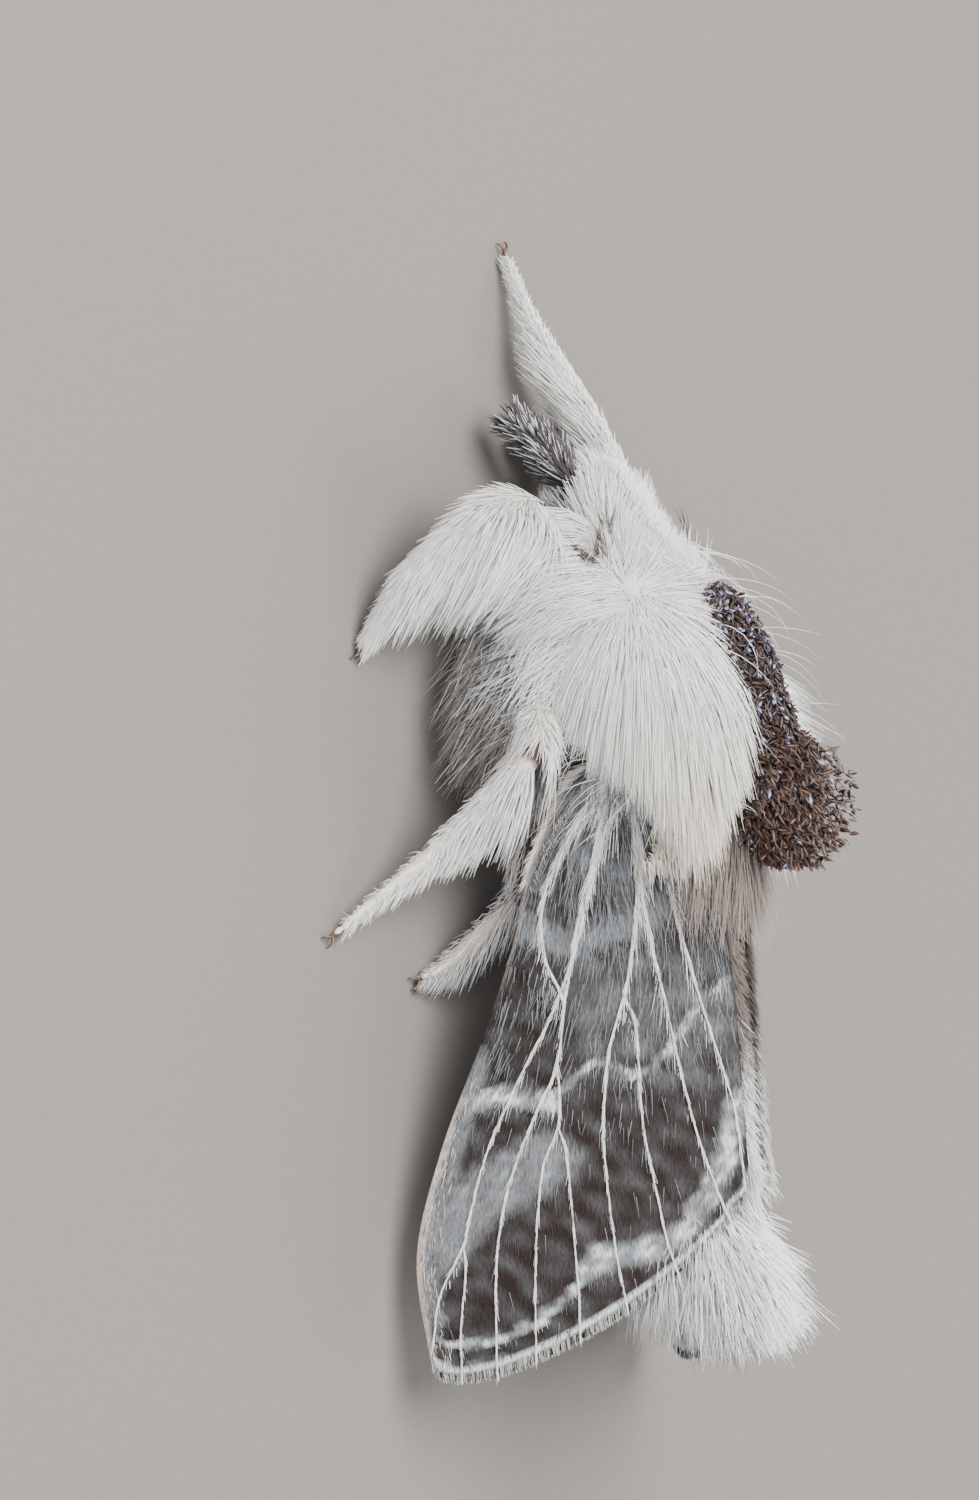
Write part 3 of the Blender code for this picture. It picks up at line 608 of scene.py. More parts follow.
def coat(name, finish, lines, outs, half, tints, centres, profile=None, flat=1.0, soft=0.55):
    """One piece of many closed three-sided hairs, each in a small patch of the unwrap at its root's place.

    Its normals lean by a soft share towards the way out of the skin, so that the coat shades as one.
    """
    hairs, sections, _ = lines.shape
    if profile is None:
        profile = np.interp(np.linspace(0, 1, sections), (0, 0.3, 0.6, 1), (0.8, 1.0, 0.8, 0.2))
    tangents = unit(np.gradient(lines, axis=1))
    sides = unit(np.cross(tangents, outs[:, None]))
    ups = unit(np.cross(sides, tangents))
    turns = np.radians([90, 210, 330])
    half = np.broadcast_to(half, (hairs,))[:, None, None, None] * np.asarray(profile)[None, :, None, None]
    ring = np.cos(turns)[:, None] * sides[:, :, None] + flat * np.sin(turns)[:, None] * ups[:, :, None]
    points = (lines[:, :, None] + half * ring).reshape(-1, 3)
    points[:, 2] = np.maximum(points[:, 2], FLOOR_CLEAR)
    normals = unit(blend(ring, outs[:, None, None], soft)).reshape(-1, 3)
    pattern = []
    for section in range(sections - 1):
        for corner in range(3):
            a, b = section * 3 + corner, section * 3 + (corner + 1) % 3
            pattern += [(a, a + 3, b + 3), (a, b + 3, b)]
    last = (sections - 1) * 3
    pattern += [(0, 1, 2), (last, last + 2, last + 1)]
    faces = (np.array(pattern)[None] + (np.arange(hairs) * sections * 3)[:, None, None]).reshape(-1, 3)
    mesh = bpy.data.meshes.new(name)
    mesh.from_pydata((points * MM).tolist(), [], faces.tolist())
    mesh.shade_smooth()
    mesh.normals_split_custom_set_from_vertices(normals.tolist())
    set_tint(mesh, np.repeat(tints.reshape(-1, 3), 3, axis=0))
    across = np.array([-0.5, 0.0, 0.5])[None, None, :] * TUFT_PATCH
    along = np.linspace(-0.5, 0.5, sections)[None, :, None] * TUFT_PATCH
    patch = np.empty((hairs, sections, 3, 2))
    patch[..., 0] = centres[:, 0, None, None] + across
    patch[..., 1] = centres[:, 1, None, None] + along
    layer = mesh.uv_layers.new(name="OFBake")
    layer.data.foreach_set("uv", patch.reshape(-1, 2)[faces.ravel()].astype(np.float32).ravel())
    piece(name, mesh, finish)


def unwrap(first, second):
    """Places on a coat's unwrap, a little inside its edges, for two shares from 0 to 1."""
    return 0.01 + 0.98 * np.stack([first, second], axis=-1)


def body_unwrap(back, angle):
    """Places on the body unrolled flat: round it, and along it from face to tail."""
    return unwrap(angle / 360 + 0.5, (back - BODY[0, 0]) / (BODY[-1, 0] - BODY[0, 0]))


def round_path(path, along, turn, toward, step):
    """Places on a centre line, the way along it, and directions out of it at turns from one side."""
    centre = between(path, along)
    ahead = unit(between(path, along + step) - between(path, along - step))
    first = unit(toward - ahead * (ahead @ toward)[:, None])
    outs = first * np.cos(turn)[:, None] + np.cross(ahead, first) * np.sin(turn)[:, None]
    return centre, ahead, outs


def coat_flow(side, strays):
    """The lie of the coat: away from the shoulder whorl, drawn back and a little down."""
    whorl = WHORL * np.array([side, 1, 1]) + strays

    def flow(place, outs):
        away = unit(place - whorl)
        behind = smooth(place[:, 1], WHORL[1] - 0.5, WHORL[1] + 5.0)[:, None]
        over = smooth(place[:, 1], -1.5, 1.0)[:, None]
        out = unit(blend(body_out(place), roof_out(side), over))
        lie = away * (1 - 0.55 * behind) + BACK * behind - UP * 0.1 * behind
        lie = lie - out * (lie * out).sum(axis=1, keepdims=True)
        return unit(lie)

    return flow


def grow_cape(finish):
    """Long white hair that fans back from each shoulder over the thorax and the wing roots."""
    for side, word in SIDES:
        count = 10000 if side > 0 else 7600
        draw, grid = scatter(41, count)
        back = -8.5 + 10.2 * grid[:, 0] ** 0.9
        angle = 17 + 92 * grid[:, 1]
        end = np.interp(angle, (17, 22, 28, 34, 42, 53, 62, 70, 95, 109),
                        (-0.7, 0.5, 1.8, 2.4, 1.7, 0.0, -0.9, -1.6, -3.1, -4.0))
        end += draw.normal(0, 0.3, count)
        kept = back < end - 0.5
        back, angle, end, count = back[kept], angle[kept], end[kept], int(kept.sum())
        roots, outs = on_body(back, angle * side)
        depth = np.interp(angle, (17, 28, 45, 60, 105), (2.15, 1.9, 1.35, 0.95, 0.6))
        depth *= np.interp(back, (-8.5, -7.0, -4.8), (0.3, 0.5, 1.0))
        layer = depth * (1 - 0.85 * draw.random(count) ** 1.5)
        lengths = np.clip((end - back) * 1.15, 0.7, 4.3) * draw.uniform(0.72, 1.08, count)
        lengths *= np.interp(back, (-8.5, -7.2, -6.0), (0.35, 0.68, 1.0))
        strays = draw.normal(0, 0.28, (count, 3))

        def keep(place, share):
            place = off_body(place, layer * min(1.0, 0.35 + share))
            return off_roof(place, layer * 0.5)

        rise = (0.6 + layer) * np.interp(back, (-8.5, -7.0), (0.3, 1.0))
        lines = grow(roots, outs, coat_flow(side, strays), lengths, rise, 4, keep)
        lines = waver(gather(lines, 8, 0.16, draw), 0.06, draw)
        cream = smooth(lines[:, -1, 1], -2.5, 2.0)[:, None, None] * 0.9
        straw = (draw.random(count) < 0.05)[:, None, None] * cream
        tip = blend(WHITE_HAIR, CREAM_HAIR, cream)
        tip = blend(tip, STRAW_HAIR, straw)
        # Roots a shade darker than the tips: painted shade deep in the coat
        tints = tone_hairs(lines, tip * 0.98, tip, 0.035, draw)
        coat("cape_hair_" + word, finish, lines, outs,
             HAIR_HALF * draw.uniform(0.55, 0.95, count), tints, body_unwrap(back, angle * side))


def grow_shoulder(finish):
    """White hair that sweeps out from each shoulder over the foreleg and falls back past it."""
    for side, word in SIDES:
        count = 2300 if side > 0 else 1700
        draw, grid = scatter(42, count)
        back = -9.8 + 2.9 * grid[:, 0]
        angle = 58 + 56 * grid[:, 1]
        roots, outs = on_body(back, angle * side)
        reach = draw.uniform(0.1, 1.0, count) ** 0.8
        ahead = np.interp(back, (-9.8, -8.5, -6.9), (-0.5, -0.2, 0.1))
        first = unit(np.stack([np.full(count, 0.85 * side), ahead, np.full(count, -0.3)], axis=-1))
        first = first * (0.3 + 2.7 * reach)[:, None]
        second = unit(np.array([0.5 * side, 0.75, -0.45])) + draw.normal(0, 0.1, (count, 3))
        drop = draw.uniform(0.7, 1.5, count) * np.interp(back, (-9.8, -8.3, -6.9), (1.1, 1.2, 0.8))
        second = second * drop[:, None]

        def keep(place, share):
            return above_floor(off_body(place, 0.15 + 0.3 * share), 0.3)

        lines = bow(roots, outs, first, second, 4, keep)
        lines = waver(gather(lines, 9, 0.4, draw), 0.09, draw)
        # Roots darker than the tips: painted shade deep in the coat
        tints = tone_hairs(lines, WHITE_HAIR * 0.88, WHITE_HAIR, 0.06, draw)
        coat("shoulder_hair_" + word, finish, lines, outs,
             HAIR_HALF * draw.uniform(0.65, 1.15, count), tints, body_unwrap(back, angle * side))


def grow_chest(finish):
    """Grey-brown under-hair of the chest, white along its top: it stands out and down, then falls back."""
    for side, word in SIDES:
        count = 4200 if side > 0 else 3300
        draw, grid = scatter(43, count)
        back = -8.7 + 8.1 * grid[:, 0]
        angle = 84 + 84 * grid[:, 1]
        roots, outs = on_body(back, angle * side)
        reach = draw.uniform(0.0, 1.0, count) ** 0.75
        reach *= np.interp(back, (-8.7, -7.8, -3.0, -0.6), (1.1, 1.1, 0.85, 0.3))
        out_high = unit(np.array([0.74 * side, 0.05, -0.66]))
        out_low = unit(np.array([0.93 * side, 0.05, -0.3]))
        mix = smooth(angle, 98, 140)[:, None]
        first = unit(blend(out_high, out_low, mix) + draw.normal(0, 0.07, (count, 3)))
        limit = np.interp(back, (-8.4, -6.4, -4.6, -2.5), (134, 112, 93, 80))
        white = smooth(angle, limit + 6, limit - 8)
        reach *= 1 - 0.5 * white
        first = first * (0.3 + 4.2 * reach * np.interp(angle, (84, 110, 168), (1.0, 1.0, 0.75)))[:, None]
        fall = unit(np.array([0.25 * side, 0.95, -0.22]) + draw.normal(0, 0.16, (count, 3)))
        drop = draw.uniform(1.3, 3.2, count) * np.interp(back, (-8.4, -3.0, -0.6), (1.0, 0.85, 0.5))
        second = fall * drop[:, None]

        def keep(place, share):
            return above_floor(off_body(place, 0.1 + 0.3 * share), 0.15)

        lines = bow(roots, outs, first, second, 4, keep)
        lines = waver(gather(lines, 10, 0.5, draw), 0.15, draw)
        corner = roots + first
        spot = np.array([5.9 * side, -6.2, 3.0])
        clump = np.exp(-(np.linalg.norm((corner - spot) * np.array([1, 1.3, 1]), axis=1) / 0.75) ** 2)
        edge = np.maximum(smooth(back, -7.4, -8.4) * 0.8, white)
        pale = np.clip(edge + 1.1 * clump + 0.5 * (draw.random(count) < 0.13), 0, 1)[:, None, None]
        # The pale hairs' roots are painted darker as shade deep in the coat
        root = blend(DARK_HAIR, COOL_HAIR * 0.85, pale)
        tip = blend(CHEST_TIP, COOL_HAIR, pale)
        tints = tone_hairs(lines, root, tip, 0.2, draw)
        coat("chest_hair_" + word, finish, lines, outs,
             HAIR_HALF * draw.uniform(0.5, 0.95, count), tints, body_unwrap(back, angle * side))


def grow_head(finish):
    """Short smooth white hair of the head and neck, lying forward from the shoulders."""
    count = 5900
    draw, grid = scatter(47, count)
    back = -11.85 + 4.0 * grid[:, 0]
    turn = 2 * grid[:, 1] - 1
    angle = 180 * np.sign(turn) * np.abs(turn) ** 1.25
    roots, outs = on_body(back, angle)
    eye = np.array(EYE_PLACE)
    near = np.stack([np.abs(roots[:, 0]), roots[:, 1], roots[:, 2]], axis=-1)
    kept = np.linalg.norm(near - eye, axis=1) > EYE_RADIUS * 1.02
    back, angle, roots, outs, near = back[kept], angle[kept], roots[kept], outs[kept], near[kept]
    count = len(back)
    side = np.where(roots[:, 0] >= 0, 1.0, -1.0)
    whorl = WHORL[None] * np.stack([side, np.ones(count), np.ones(count)], axis=-1)
    whorl = whorl + draw.normal(0, 0.28, (count, 3))
    top = 0.5 + 0.5 * np.cos(np.radians(angle))
    layer = draw.uniform(0.1, 1.0, count) * np.interp(back, (-11.8, -10, -8.4), (0.3, 0.45, 0.6))
    layer *= 1.5 - 0.5 * top
    lengths = np.interp(back, (-11.8, -10.5, -8.4), (0.55, 0.9, 1.1)) * draw.uniform(0.75, 1.15, count)
    # A longer brow half hides each eye
    brow = smooth(np.linalg.norm(near - eye - np.array([0, 0.7, 0.5]), axis=1), 1.2, 0.5)
    lengths *= 1 + 0.6 * brow
    # Below the brow the hair beside each eye stops at its rim
    gap = np.linalg.norm(near - eye, axis=1)
    beside = (near[:, 2] < eye[2] + 0.45) & (near[:, 2] > eye[2] - 0.5)
    lengths = np.where(beside, np.minimum(lengths, np.maximum(gap - 0.5, 0.22)), lengths)

    def flow(place, outs):
        lie = unit(place - whorl) - BACK * 0.5
        out = body_out(place)
        return unit(lie - out * (lie * out).sum(axis=1, keepdims=True))

    def keep(place, share):
        return off_body(place, layer * min(1.0, 0.35 + share))

    lines = grow(roots, outs, flow, lengths, 0.5 + layer, 4, keep)
    lines = waver(gather(lines, 6, 0.15, draw), 0.07, draw)
    # Roots a shade darker than the tips: painted shade deep in the coat
    tints = tone_hairs(lines, COOL_HAIR * 0.98, COOL_HAIR, 0.03, draw)
    coat("head_hair", finish, lines, outs, HAIR_HALF * draw.uniform(0.6, 1.0, count), tints,
         body_unwrap(back, angle))


def grow_face(finish):
    """Short white hair that hangs over the front of the face."""
    count = 560
    draw, grid = scatter(53, count)
    turn = grid[:, 0] * math.tau
    reach = np.sqrt(grid[:, 1])[:, None]
    around = np.stack([np.cos(turn), 0 * turn, np.sin(turn)], axis=-1)
    roots = np.array([0, -12.12, 3.1]) + around * reach * 0.75 + BACK * 0.5 * reach**2
    outs = unit(around * reach * 0.9 - BACK)
    lie = unit(around * reach * 0.6 - UP * 0.6 - BACK * 0.4 + draw.normal(0, 0.12, (count, 3)))
    lines = grow(roots, outs, straight(lie), draw.uniform(0.5, 0.95, count), 0.6, 3)
    # Roots darker than the tips: painted shade deep in the coat
    tints = tone_hairs(lines, COOL_HAIR * 0.9, COOL_HAIR, 0.05, draw)
    centres = np.stack([0.5 + 0.1 * around[:, 0], 0.03 + 0.02 * around[:, 2]], axis=-1)
    coat("face_hair", finish, lines, outs, HAIR_HALF * draw.uniform(0.6, 1.0, count), tints,
         centres)


def grow_nape(finish):
    """A few dark hairs in a V on each side of the neck, over the white ones."""
    for side, word in SIDES:
        draw = np.random.default_rng(51)
        count = 70
        arm = draw.random(count) < 0.5
        share = draw.random(count) ** 1.5
        back = -8.5 - 1.4 * share + draw.normal(0, 0.05, count)
        angle = 75 + np.where(arm, 24, -26) * share + draw.normal(0, 2, count)
        roots, outs = on_body(back, angle * side)
        ahead, _ = on_body(back - 0.5, (angle + np.where(arm, 9, -11)) * side)
        lie = unit(ahead - roots + draw.normal(0, 0.08, (count, 3)))
        first = outs * 0.15 + lie * 0.3
        over = roots + outs * 1.45
        lines = bow(over, outs, first, lie * draw.uniform(0.4, 0.9, count)[:, None], 4)
        tints = tone_hairs(lines, NAPE_ROOT, NAPE_TIP, 0.15, draw)
        coat("nape_hair_" + word, finish, lines, outs, HAIR_HALF * 0.55, tints,
             body_unwrap(back, angle * side))


def on_side(points, side):
    """Points of the left side as they are, or mirrored to the right where side is -1."""
    return [(x * side, y, z) for x, y, z in points]


def leg_paths():
    """Each leg's joints, by name."""
    paths = {"foreleg_left": FORELEG_LEFT, "foreleg_right": FORELEG_RIGHT}
    for side, word in SIDES:
        for kind, joints in (("midleg_", MIDLEG), ("hindleg_", HINDLEG)):
            paths[kind + word] = on_side(joints, side)
    return paths


def leg_form(joints):
    """A leg's smooth centre line and the radius along it."""
    path = smooth_path(joints, 8)
    return path, between(LEG_RADII, np.linspace(0, 1, len(path)))


# Leg hair: fan beside the leg, run along it from hip to foot, number, lengths from hip to foot, colour
LEG_COATS = {
    "foreleg_left": ((0.1, 0.85, -0.35), (0.7, 0.6, 0.3, 0.8, 2.0), 4300, (2.4, 4.1, 4.8, 2.6, 0.6),
                     WHITE_HAIR),
    "foreleg_right": ((0.5, -0.25, -0.22), (1.7, 1.5, 1.3, 1.1, 0.95, 1.1, 2.0, 2.4, 2.4), 3900,
                      (0.8, 0.9, 1.1, 1.6, 2.1, 2.1, 0.9, 0.5, 0.5), WHITE_HAIR),
    "midleg_left": ((0.05, 1.0, -0.25), (0.7, 0.7, 0.4, 0.9, 2.4), 3700, (1.6, 2.0, 3.4, 1.6, 0.6),
                    WHITE_HAIR),
    "midleg_right": ((-0.05, 1.0, -0.25), (0.7, 0.7, 0.4, 0.9, 2.4), 2500, (1.6, 2.0, 3.4, 1.6, 0.6),
                     WHITE_HAIR),
    # The hind legs' white hair is painted grey as the shade under the wings
    "hindleg_left": ((0.2, 0.8, 0.0), (1.3, 1.3, 1.3, 2.4), 1500, (1.2, 1.4, 1.6, 0.6), SHADED_WHITE_HAIR),
    "hindleg_right": ((-0.2, 0.8, 0.0), (1.3, 1.3, 1.3, 2.4), 1300, (1.2, 1.4, 1.6, 0.6), SHADED_WHITE_HAIR),
}


def grow_legs(finish):
    """Hair of each leg, dense and long above the foot and close and short on it."""
    for number, (name, joints) in enumerate(leg_paths().items()):
        fan, runs, count, long_at, colour = LEG_COATS[name]
        draw, grid = scatter(60 + number, count)
        path, radii = leg_form(joints)
        along = grid[:, 0] * 0.97
        turn = grid[:, 1] * math.tau
        fan = unit(np.array(fan))
        centre, ahead, outs = round_path(path, along, turn, fan, 0.02)
        roots = centre + outs * (between(LEG_RADII, along) * 0.9)[:, None]
        foot = smooth(along, 0.7, 0.82)
        run = between(runs, along)[:, None]
        lengths = between(long_at, along) * draw.uniform(0.6, 1.08, count)
        lengths *= np.interp(np.cos(turn), (-1, -0.3, 0.4), (0.36, 0.48, 1.0))
        lie = unit(ahead * run + fan + draw.normal(0, 0.1, (count, 3)))
        layer = draw.uniform(0.02, 0.45, count) * (1 - 0.7 * foot)
        layer *= np.interp(np.cos(turn), (-1, 0.4), (0.35, 1.0))

        def flow(place, outs):
            return unit(lie - outs * np.minimum((lie * outs).sum(axis=1, keepdims=True), 0) * 0.9)

        def keep(place, share):
            return above_floor(off_limb(place, path, radii, layer[:, None] * min(1.0, 0.4 + share)))

        rise = blend(0.5, 0.2, foot)
        lines = grow(roots, outs, flow, lengths, rise, 4 if count > 3000 else 3, keep, stiff=0.4)
        lines = waver(gather(lines, 7, 0.35, draw), 0.08, draw)
        # Roots darker than the tips: painted shade, the grey between the strands
        tints = tone_hairs(lines, colour * 0.75, colour, 0.09, draw)
        if name.startswith("midleg"):
            # The knee shows bare brown cuticle between its hairs
            near = np.linalg.norm(roots - np.array(joints[2]), axis=1) > 0.5
            lines, outs, tints = lines[near], outs[near], tints[near]
            along, turn, foot, count = along[near], turn[near], foot[near], int(near.sum())
        centres = unwrap(along, turn / math.tau)
        half = HAIR_HALF * draw.uniform(0.65, 1.1, count) * (1 - 0.25 * foot)
        coat(name + "_hair", finish, lines, outs, half, tints, centres)


def grow_tail(finish):
    """Long white hair that fans out from the end of the abdomen."""
    count = 4300
    draw, grid = scatter(83, count)
    back = 12.5 + 3.88 * grid[:, 0] ** 0.8
    angle = -180 + 360 * grid[:, 1]
    roots, outs = on_body(back, angle)
    # One in five grows on the blunt end itself
    end = (draw.random(count) < 0.2)[:, None]
    middle = np.array([0.0, TAIL_START, body_at(TAIL_START)[0]])
    beside = roots - np.stack([0 * back, back, body_at(back)[0]], axis=-1)
    disc = middle + beside * draw.random((count, 1)) * 0.8
    roots = np.where(end, disc, roots)
    back = roots[:, 1]
    aim = unit(np.array(TAIL_AIM))
    reach = (draw.uniform(0.0, 0.62, count) * np.interp(back, (15.2, 16.3), (1.0, 0.35)))[:, None]
    # The foremost rise into the notch between the wings
    rump = ((back < 14.5) & (np.abs(angle) < 85))[:, None]
    reach = np.where(rump, draw.uniform(0.3, 1.0, (count, 1)), reach)
    lie = unit(aim + outs * reach + draw.normal(0, 0.06, (count, 3)))
    lengths = (TAIL_TIPS - back) * draw.uniform(0.6, 1.0, count)
    lengths *= np.interp(reach[:, 0], (0, 0.6), (1.0, 0.84))
    lengths = np.where(rump[:, 0], np.minimum(lengths, draw.uniform(1.6, 3.4, count)), lengths)
    lines = grow(roots, outs, straight(lie), lengths, 0.25, 4)
    lines = waver(gather(lines, 22, 0.7, draw), 0.24, draw)
    # Roots darker than the tips: painted shade inside the tuft
    tints = tone_hairs(lines, COOL_HAIR * 0.72, COOL_HAIR, 0.13, draw)
    coat("tail_hair", finish, lines, outs, HAIR_HALF * draw.uniform(0.7, 1.2, count), tints,
         body_unwrap(back, angle))


def grow_abdomen(finish):
    """Close grey-brown hair of the abdomen, lying back under the wings."""
    count = 2000
    draw, grid = scatter(89, count)
    back = 0.4 + 13.2 * grid[:, 0]
    angle = -180 + 360 * grid[:, 1]
    roots, outs = on_body(back, angle)
    lengths = draw.uniform(0.9, 1.5, count)
    layer = draw.uniform(0.05, 0.35, count)

    def flow(place, outs):
        out = body_out(place)
        lie = BACK - out * (out @ BACK)[:, None]
        return unit(lie)

    def keep(place, share):
        return off_body(place, layer)

    lines = grow(roots, outs, flow, lengths, 0.4, 3, keep)
    lines = waver(gather(lines, 8, 0.3, draw), 0.06, draw)
    white = smooth(back, 10.8, 12.2)[:, None, None]
    # The white rear hairs' roots are painted grey as shade deep in the coat
    root = blend(DARK_HAIR, SHADED_WHITE_HAIR, white)
    tip = blend(GREY_HAIR, COOL_HAIR, white)
    tints = tone_hairs(lines, root, tip, 0.12, draw)
    coat("abdomen_hair", finish, lines, outs, HAIR_HALF * draw.uniform(0.8, 1.3, count),
         tints, body_unwrap(back, angle))


def grow_palps(finish):
    """Dark grey hair brushes of the two palps, with some hairs white at their tips."""
    for side, word in SIDES:
        count = 1300
        draw, grid = scatter(97, count)
        path = smooth_path(PALPS[side], 6)
        along = grid[:, 0] * 0.9
        turn = grid[:, 1] * math.tau
        centre, ahead, outs = round_path(path, along, turn, UP, 0.05)
        roots = centre + outs * 0.25
        lie = unit(ahead + outs * 0.5 + draw.normal(0, 0.1, (count, 3)))
        lengths = draw.uniform(0.8, 1.65, count) * (1 - 0.35 * along)

        def keep(place, share):
            return above_floor(place, 0.1)

        lines = grow(roots, outs, straight(lie), lengths, 0.3, 4, keep)
        lines = gather(lines, 8, 0.4, draw)
        shares = np.linspace(0, 1, 4)[None, :, None]
        white = (draw.random(count) < 0.22)[:, None, None] * smooth(shares, 0.35, 0.9) * 0.9
        tints = tone_hairs(lines, PALP_ROOT, PALP_TIP, 0.15, draw)
        tints = tints + (COOL_HAIR - tints) * white
        centres = unwrap(along, turn / math.tau)
        coat("palp_hair_" + word, finish, lines, outs, HAIR_HALF, tints, centres)


def crest_ring(along, turn):
    """Places on the crest's rounded sides, their outward directions and the way to its rear."""
    rows = np.array(CREST, float)
    path = smooth_path(np.stack([0 * rows[:, 0], rows[:, 0], rows[:, 1]], axis=-1), 8)
    centre = between(path, along)
    ahead = unit(between(path, along + 0.03) - between(path, along - 0.03))
    side_way = np.tile([1.0, 0.0, 0.0], (len(along), 1))
    rise = unit(np.cross(side_way, ahead))
    wide = (between(rows[:, 2], along) * np.sin(turn))[:, None]
    tall = (between(rows[:, 3], along) * np.cos(turn))[:, None]
    outs = unit(side_way * np.sin(turn)[:, None] + rise * np.cos(turn)[:, None] * 0.7)
    return centre + side_way * wide + rise * tall, outs, ahead


def build_crest(finish):
    """Curled, leaf-shaped dark scales in a tangled ridge along the middle of the back."""
    for name, seed, count, rear_only in (("crest_scales", 101, 6600, False),
                                         ("crest_loose_scales", 102, 2300, True)):
        draw, grid = scatter(seed, count)
        along = 0.6 + 0.4 * grid[:, 0] if rear_only else grid[:, 0]
        turn = np.radians(-118 + 236 * grid[:, 1])
        roots, outs, ahead = crest_ring(along, turn)
        roots = roots + outs * draw.uniform(-0.25, 0.12, count)[:, None]
        rear = along**2
        lie = ahead * 0.7 + UP * (0.25 + 0.6 * rear)[:, None] + outs * 0.15
        lie = unit(lie + draw.normal(0, 0.55, (count, 3)))
        if not rear_only:
            lie = unit(lie - outs * (lie * outs).sum(axis=1, keepdims=True) * 0.85)
        lengths = draw.uniform(0.22, 0.42, count) * (1 + 0.15 * rear)
        if rear_only:
            out_by = np.sin(math.pi * np.clip((along - 0.6) / 0.4, 0, 1)) ** 0.7
            out_by *= draw.uniform(0, 1.25, count)
            high = np.maximum(np.cos(turn), 0) ** 0.6
            roots = roots + (outs + UP * 0.25 + BACK * 0.2) * (out_by * high)[:, None]
            lengths = draw.uniform(0.24, 0.5, count)
        curl = np.cross(lie, unit(draw.normal(0, 1, (count, 3))))
        bend = draw.uniform(0.2, 0.9, count)[:, None]
        lines = bow(roots, outs * 0.3, lie * lengths[:, None] * 0.5,
                    unit(lie + curl * bend) * lengths[:, None] * 0.5, 4)
        shade = draw.uniform(0, 1, (count, 1, 1)) ** 1.5
        base = blend(CREST_BROWN, CREST_LIGHT, shade)
        if rear_only:
            base = base * 0.5 + CREST_RUST * 0.5
        tints = tone_hairs(lines, base * 0.65, base * 1.1, 0.15, draw)
        # Painted glints: some scales, more of them in front, are painted blue-white along their outer part
        painted_glint_scales = draw.random(count) < np.interp(along, (0.0, 0.55, 0.8), (0.26, 0.13, 0.05))
        glint = painted_glint_scales[:, None, None] * np.array([0, 0.1, 0.9, 0.1])[None, :, None]
        tints = blend(tints, CREST_PAINTED_GLINT, glint)
        centres = unwrap(along, grid[:, 1])
        facing = unit(outs + draw.normal(0, 0.5, (count, 3)))
        coat(name, finish, lines, facing, draw.uniform(0.05, 0.09, count), tints, centres,
             profile=(0.35, 1.0, 0.85, 0.15), flat=0.2, soft=0.15)


def grow_far_fan(finish):
    """A ruffled tuft of white hair that sticks out beside the crest on the moth's right."""
    count = 300
    draw, grid = scatter(113, count)
    back = -5.6 + 2.6 * grid[:, 0]
    angle = -28 - 30 * grid[:, 1]
    roots, outs = on_body(back, angle)
    first = outs * 1.4 + BACK * 0.4
    spray = unit(np.array([-0.5, 0.55, 0.42]) + draw.normal(0, 0.14, (count, 3)))
    second = spray * (draw.uniform(0.7, 2.2, count) * np.where(draw.random(count) < 0.08, 1.7, 1.0))[:, None]
    lines = waver(gather(bow(roots, outs, first, second, 5), 12, 0.4, draw), 0.12, draw)
    # Roots darker than the tips: painted shade inside the tuft
    tints = tone_hairs(lines, COOL_HAIR * 0.85, COOL_HAIR, 0.08, draw)
    coat("shoulder_fan_hair", finish, lines, outs,
         HAIR_HALF * draw.uniform(0.35, 0.7, count), tints, body_unwrap(back, angle))


def grow_wing_roots(finish):
    """White tufts that run from under the cape onto the bases of the wing's veins."""
    for side, word in SIDES:
        draw = np.random.default_rng(137)
        count = 800
        slope = draw.uniform(2.2, 5.0, count)
        back = -2.6 + 1.6 * draw.random(count)
        lift = draw.uniform(0.15, 0.4, count)
        roots = on_roof(side, slope, back, lift)
        ends_slope = 3.65 + (slope - 3.65) * draw.uniform(0.9, 1.3, count)
        ends_back = back + draw.uniform(1.0, 2.1, count)
        ends = on_roof(side, ends_slope, ends_back, 0.25)
        outs = roof_out(np.full(count, float(side)))
        way = ends - roots
        lines = bow(roots, outs, way * 0.5 + outs * 0.35, way * 0.5 - outs * 0.3, 4)
        lines = waver(gather(lines, 12, 0.6, draw), 0.07, draw)
        # Roots darker than the tips: painted shade inside the tufts
        tints = tone_hairs(lines, WHITE_HAIR * 0.9, WHITE_HAIR, 0.07, draw)
        centres = np.stack([0.1 + 0.15 * (slope - 2.2), 0.4 + 0.1 * draw.random(count)], axis=-1)
        coat("wing_root_hair_" + word, finish, lines, outs,
             HAIR_HALF * draw.uniform(0.6, 1.0, count), tints, centres)


def grow_strays(finish):
    """Single long fine hairs that stand off the coat's outlines."""
    draw = np.random.default_rng(127)
    count = 420
    back = draw.uniform(-9.5, 1.0, count)
    angle = draw.uniform(-110, 110, count)
    # Few of them stand beside the crest
    kept = (np.abs(angle) > 34) | (back < -8.6) | (draw.random(count) < 0.15)
    back, angle, count = back[kept], angle[kept], int(kept.sum())
    roots, outs = on_body(back, angle)
    first = outs * draw.uniform(1.4, 2.6, count)[:, None] + draw.normal(0, 0.3, (count, 3))
    second = unit(BACK * 0.9 + outs * 0.5 + draw.normal(0, 0.35, (count, 3)))
    second = second * draw.uniform(1.0, 2.2, count)[:, None]
    lines = bow(roots, outs, first, second, 7)
    tints = tone_hairs(lines, COOL_HAIR, COOL_HAIR, 0.1, draw)
    coat("stray_hair", finish, lines, outs, HAIR_HALF * 0.42, tints,
         body_unwrap(back, angle))


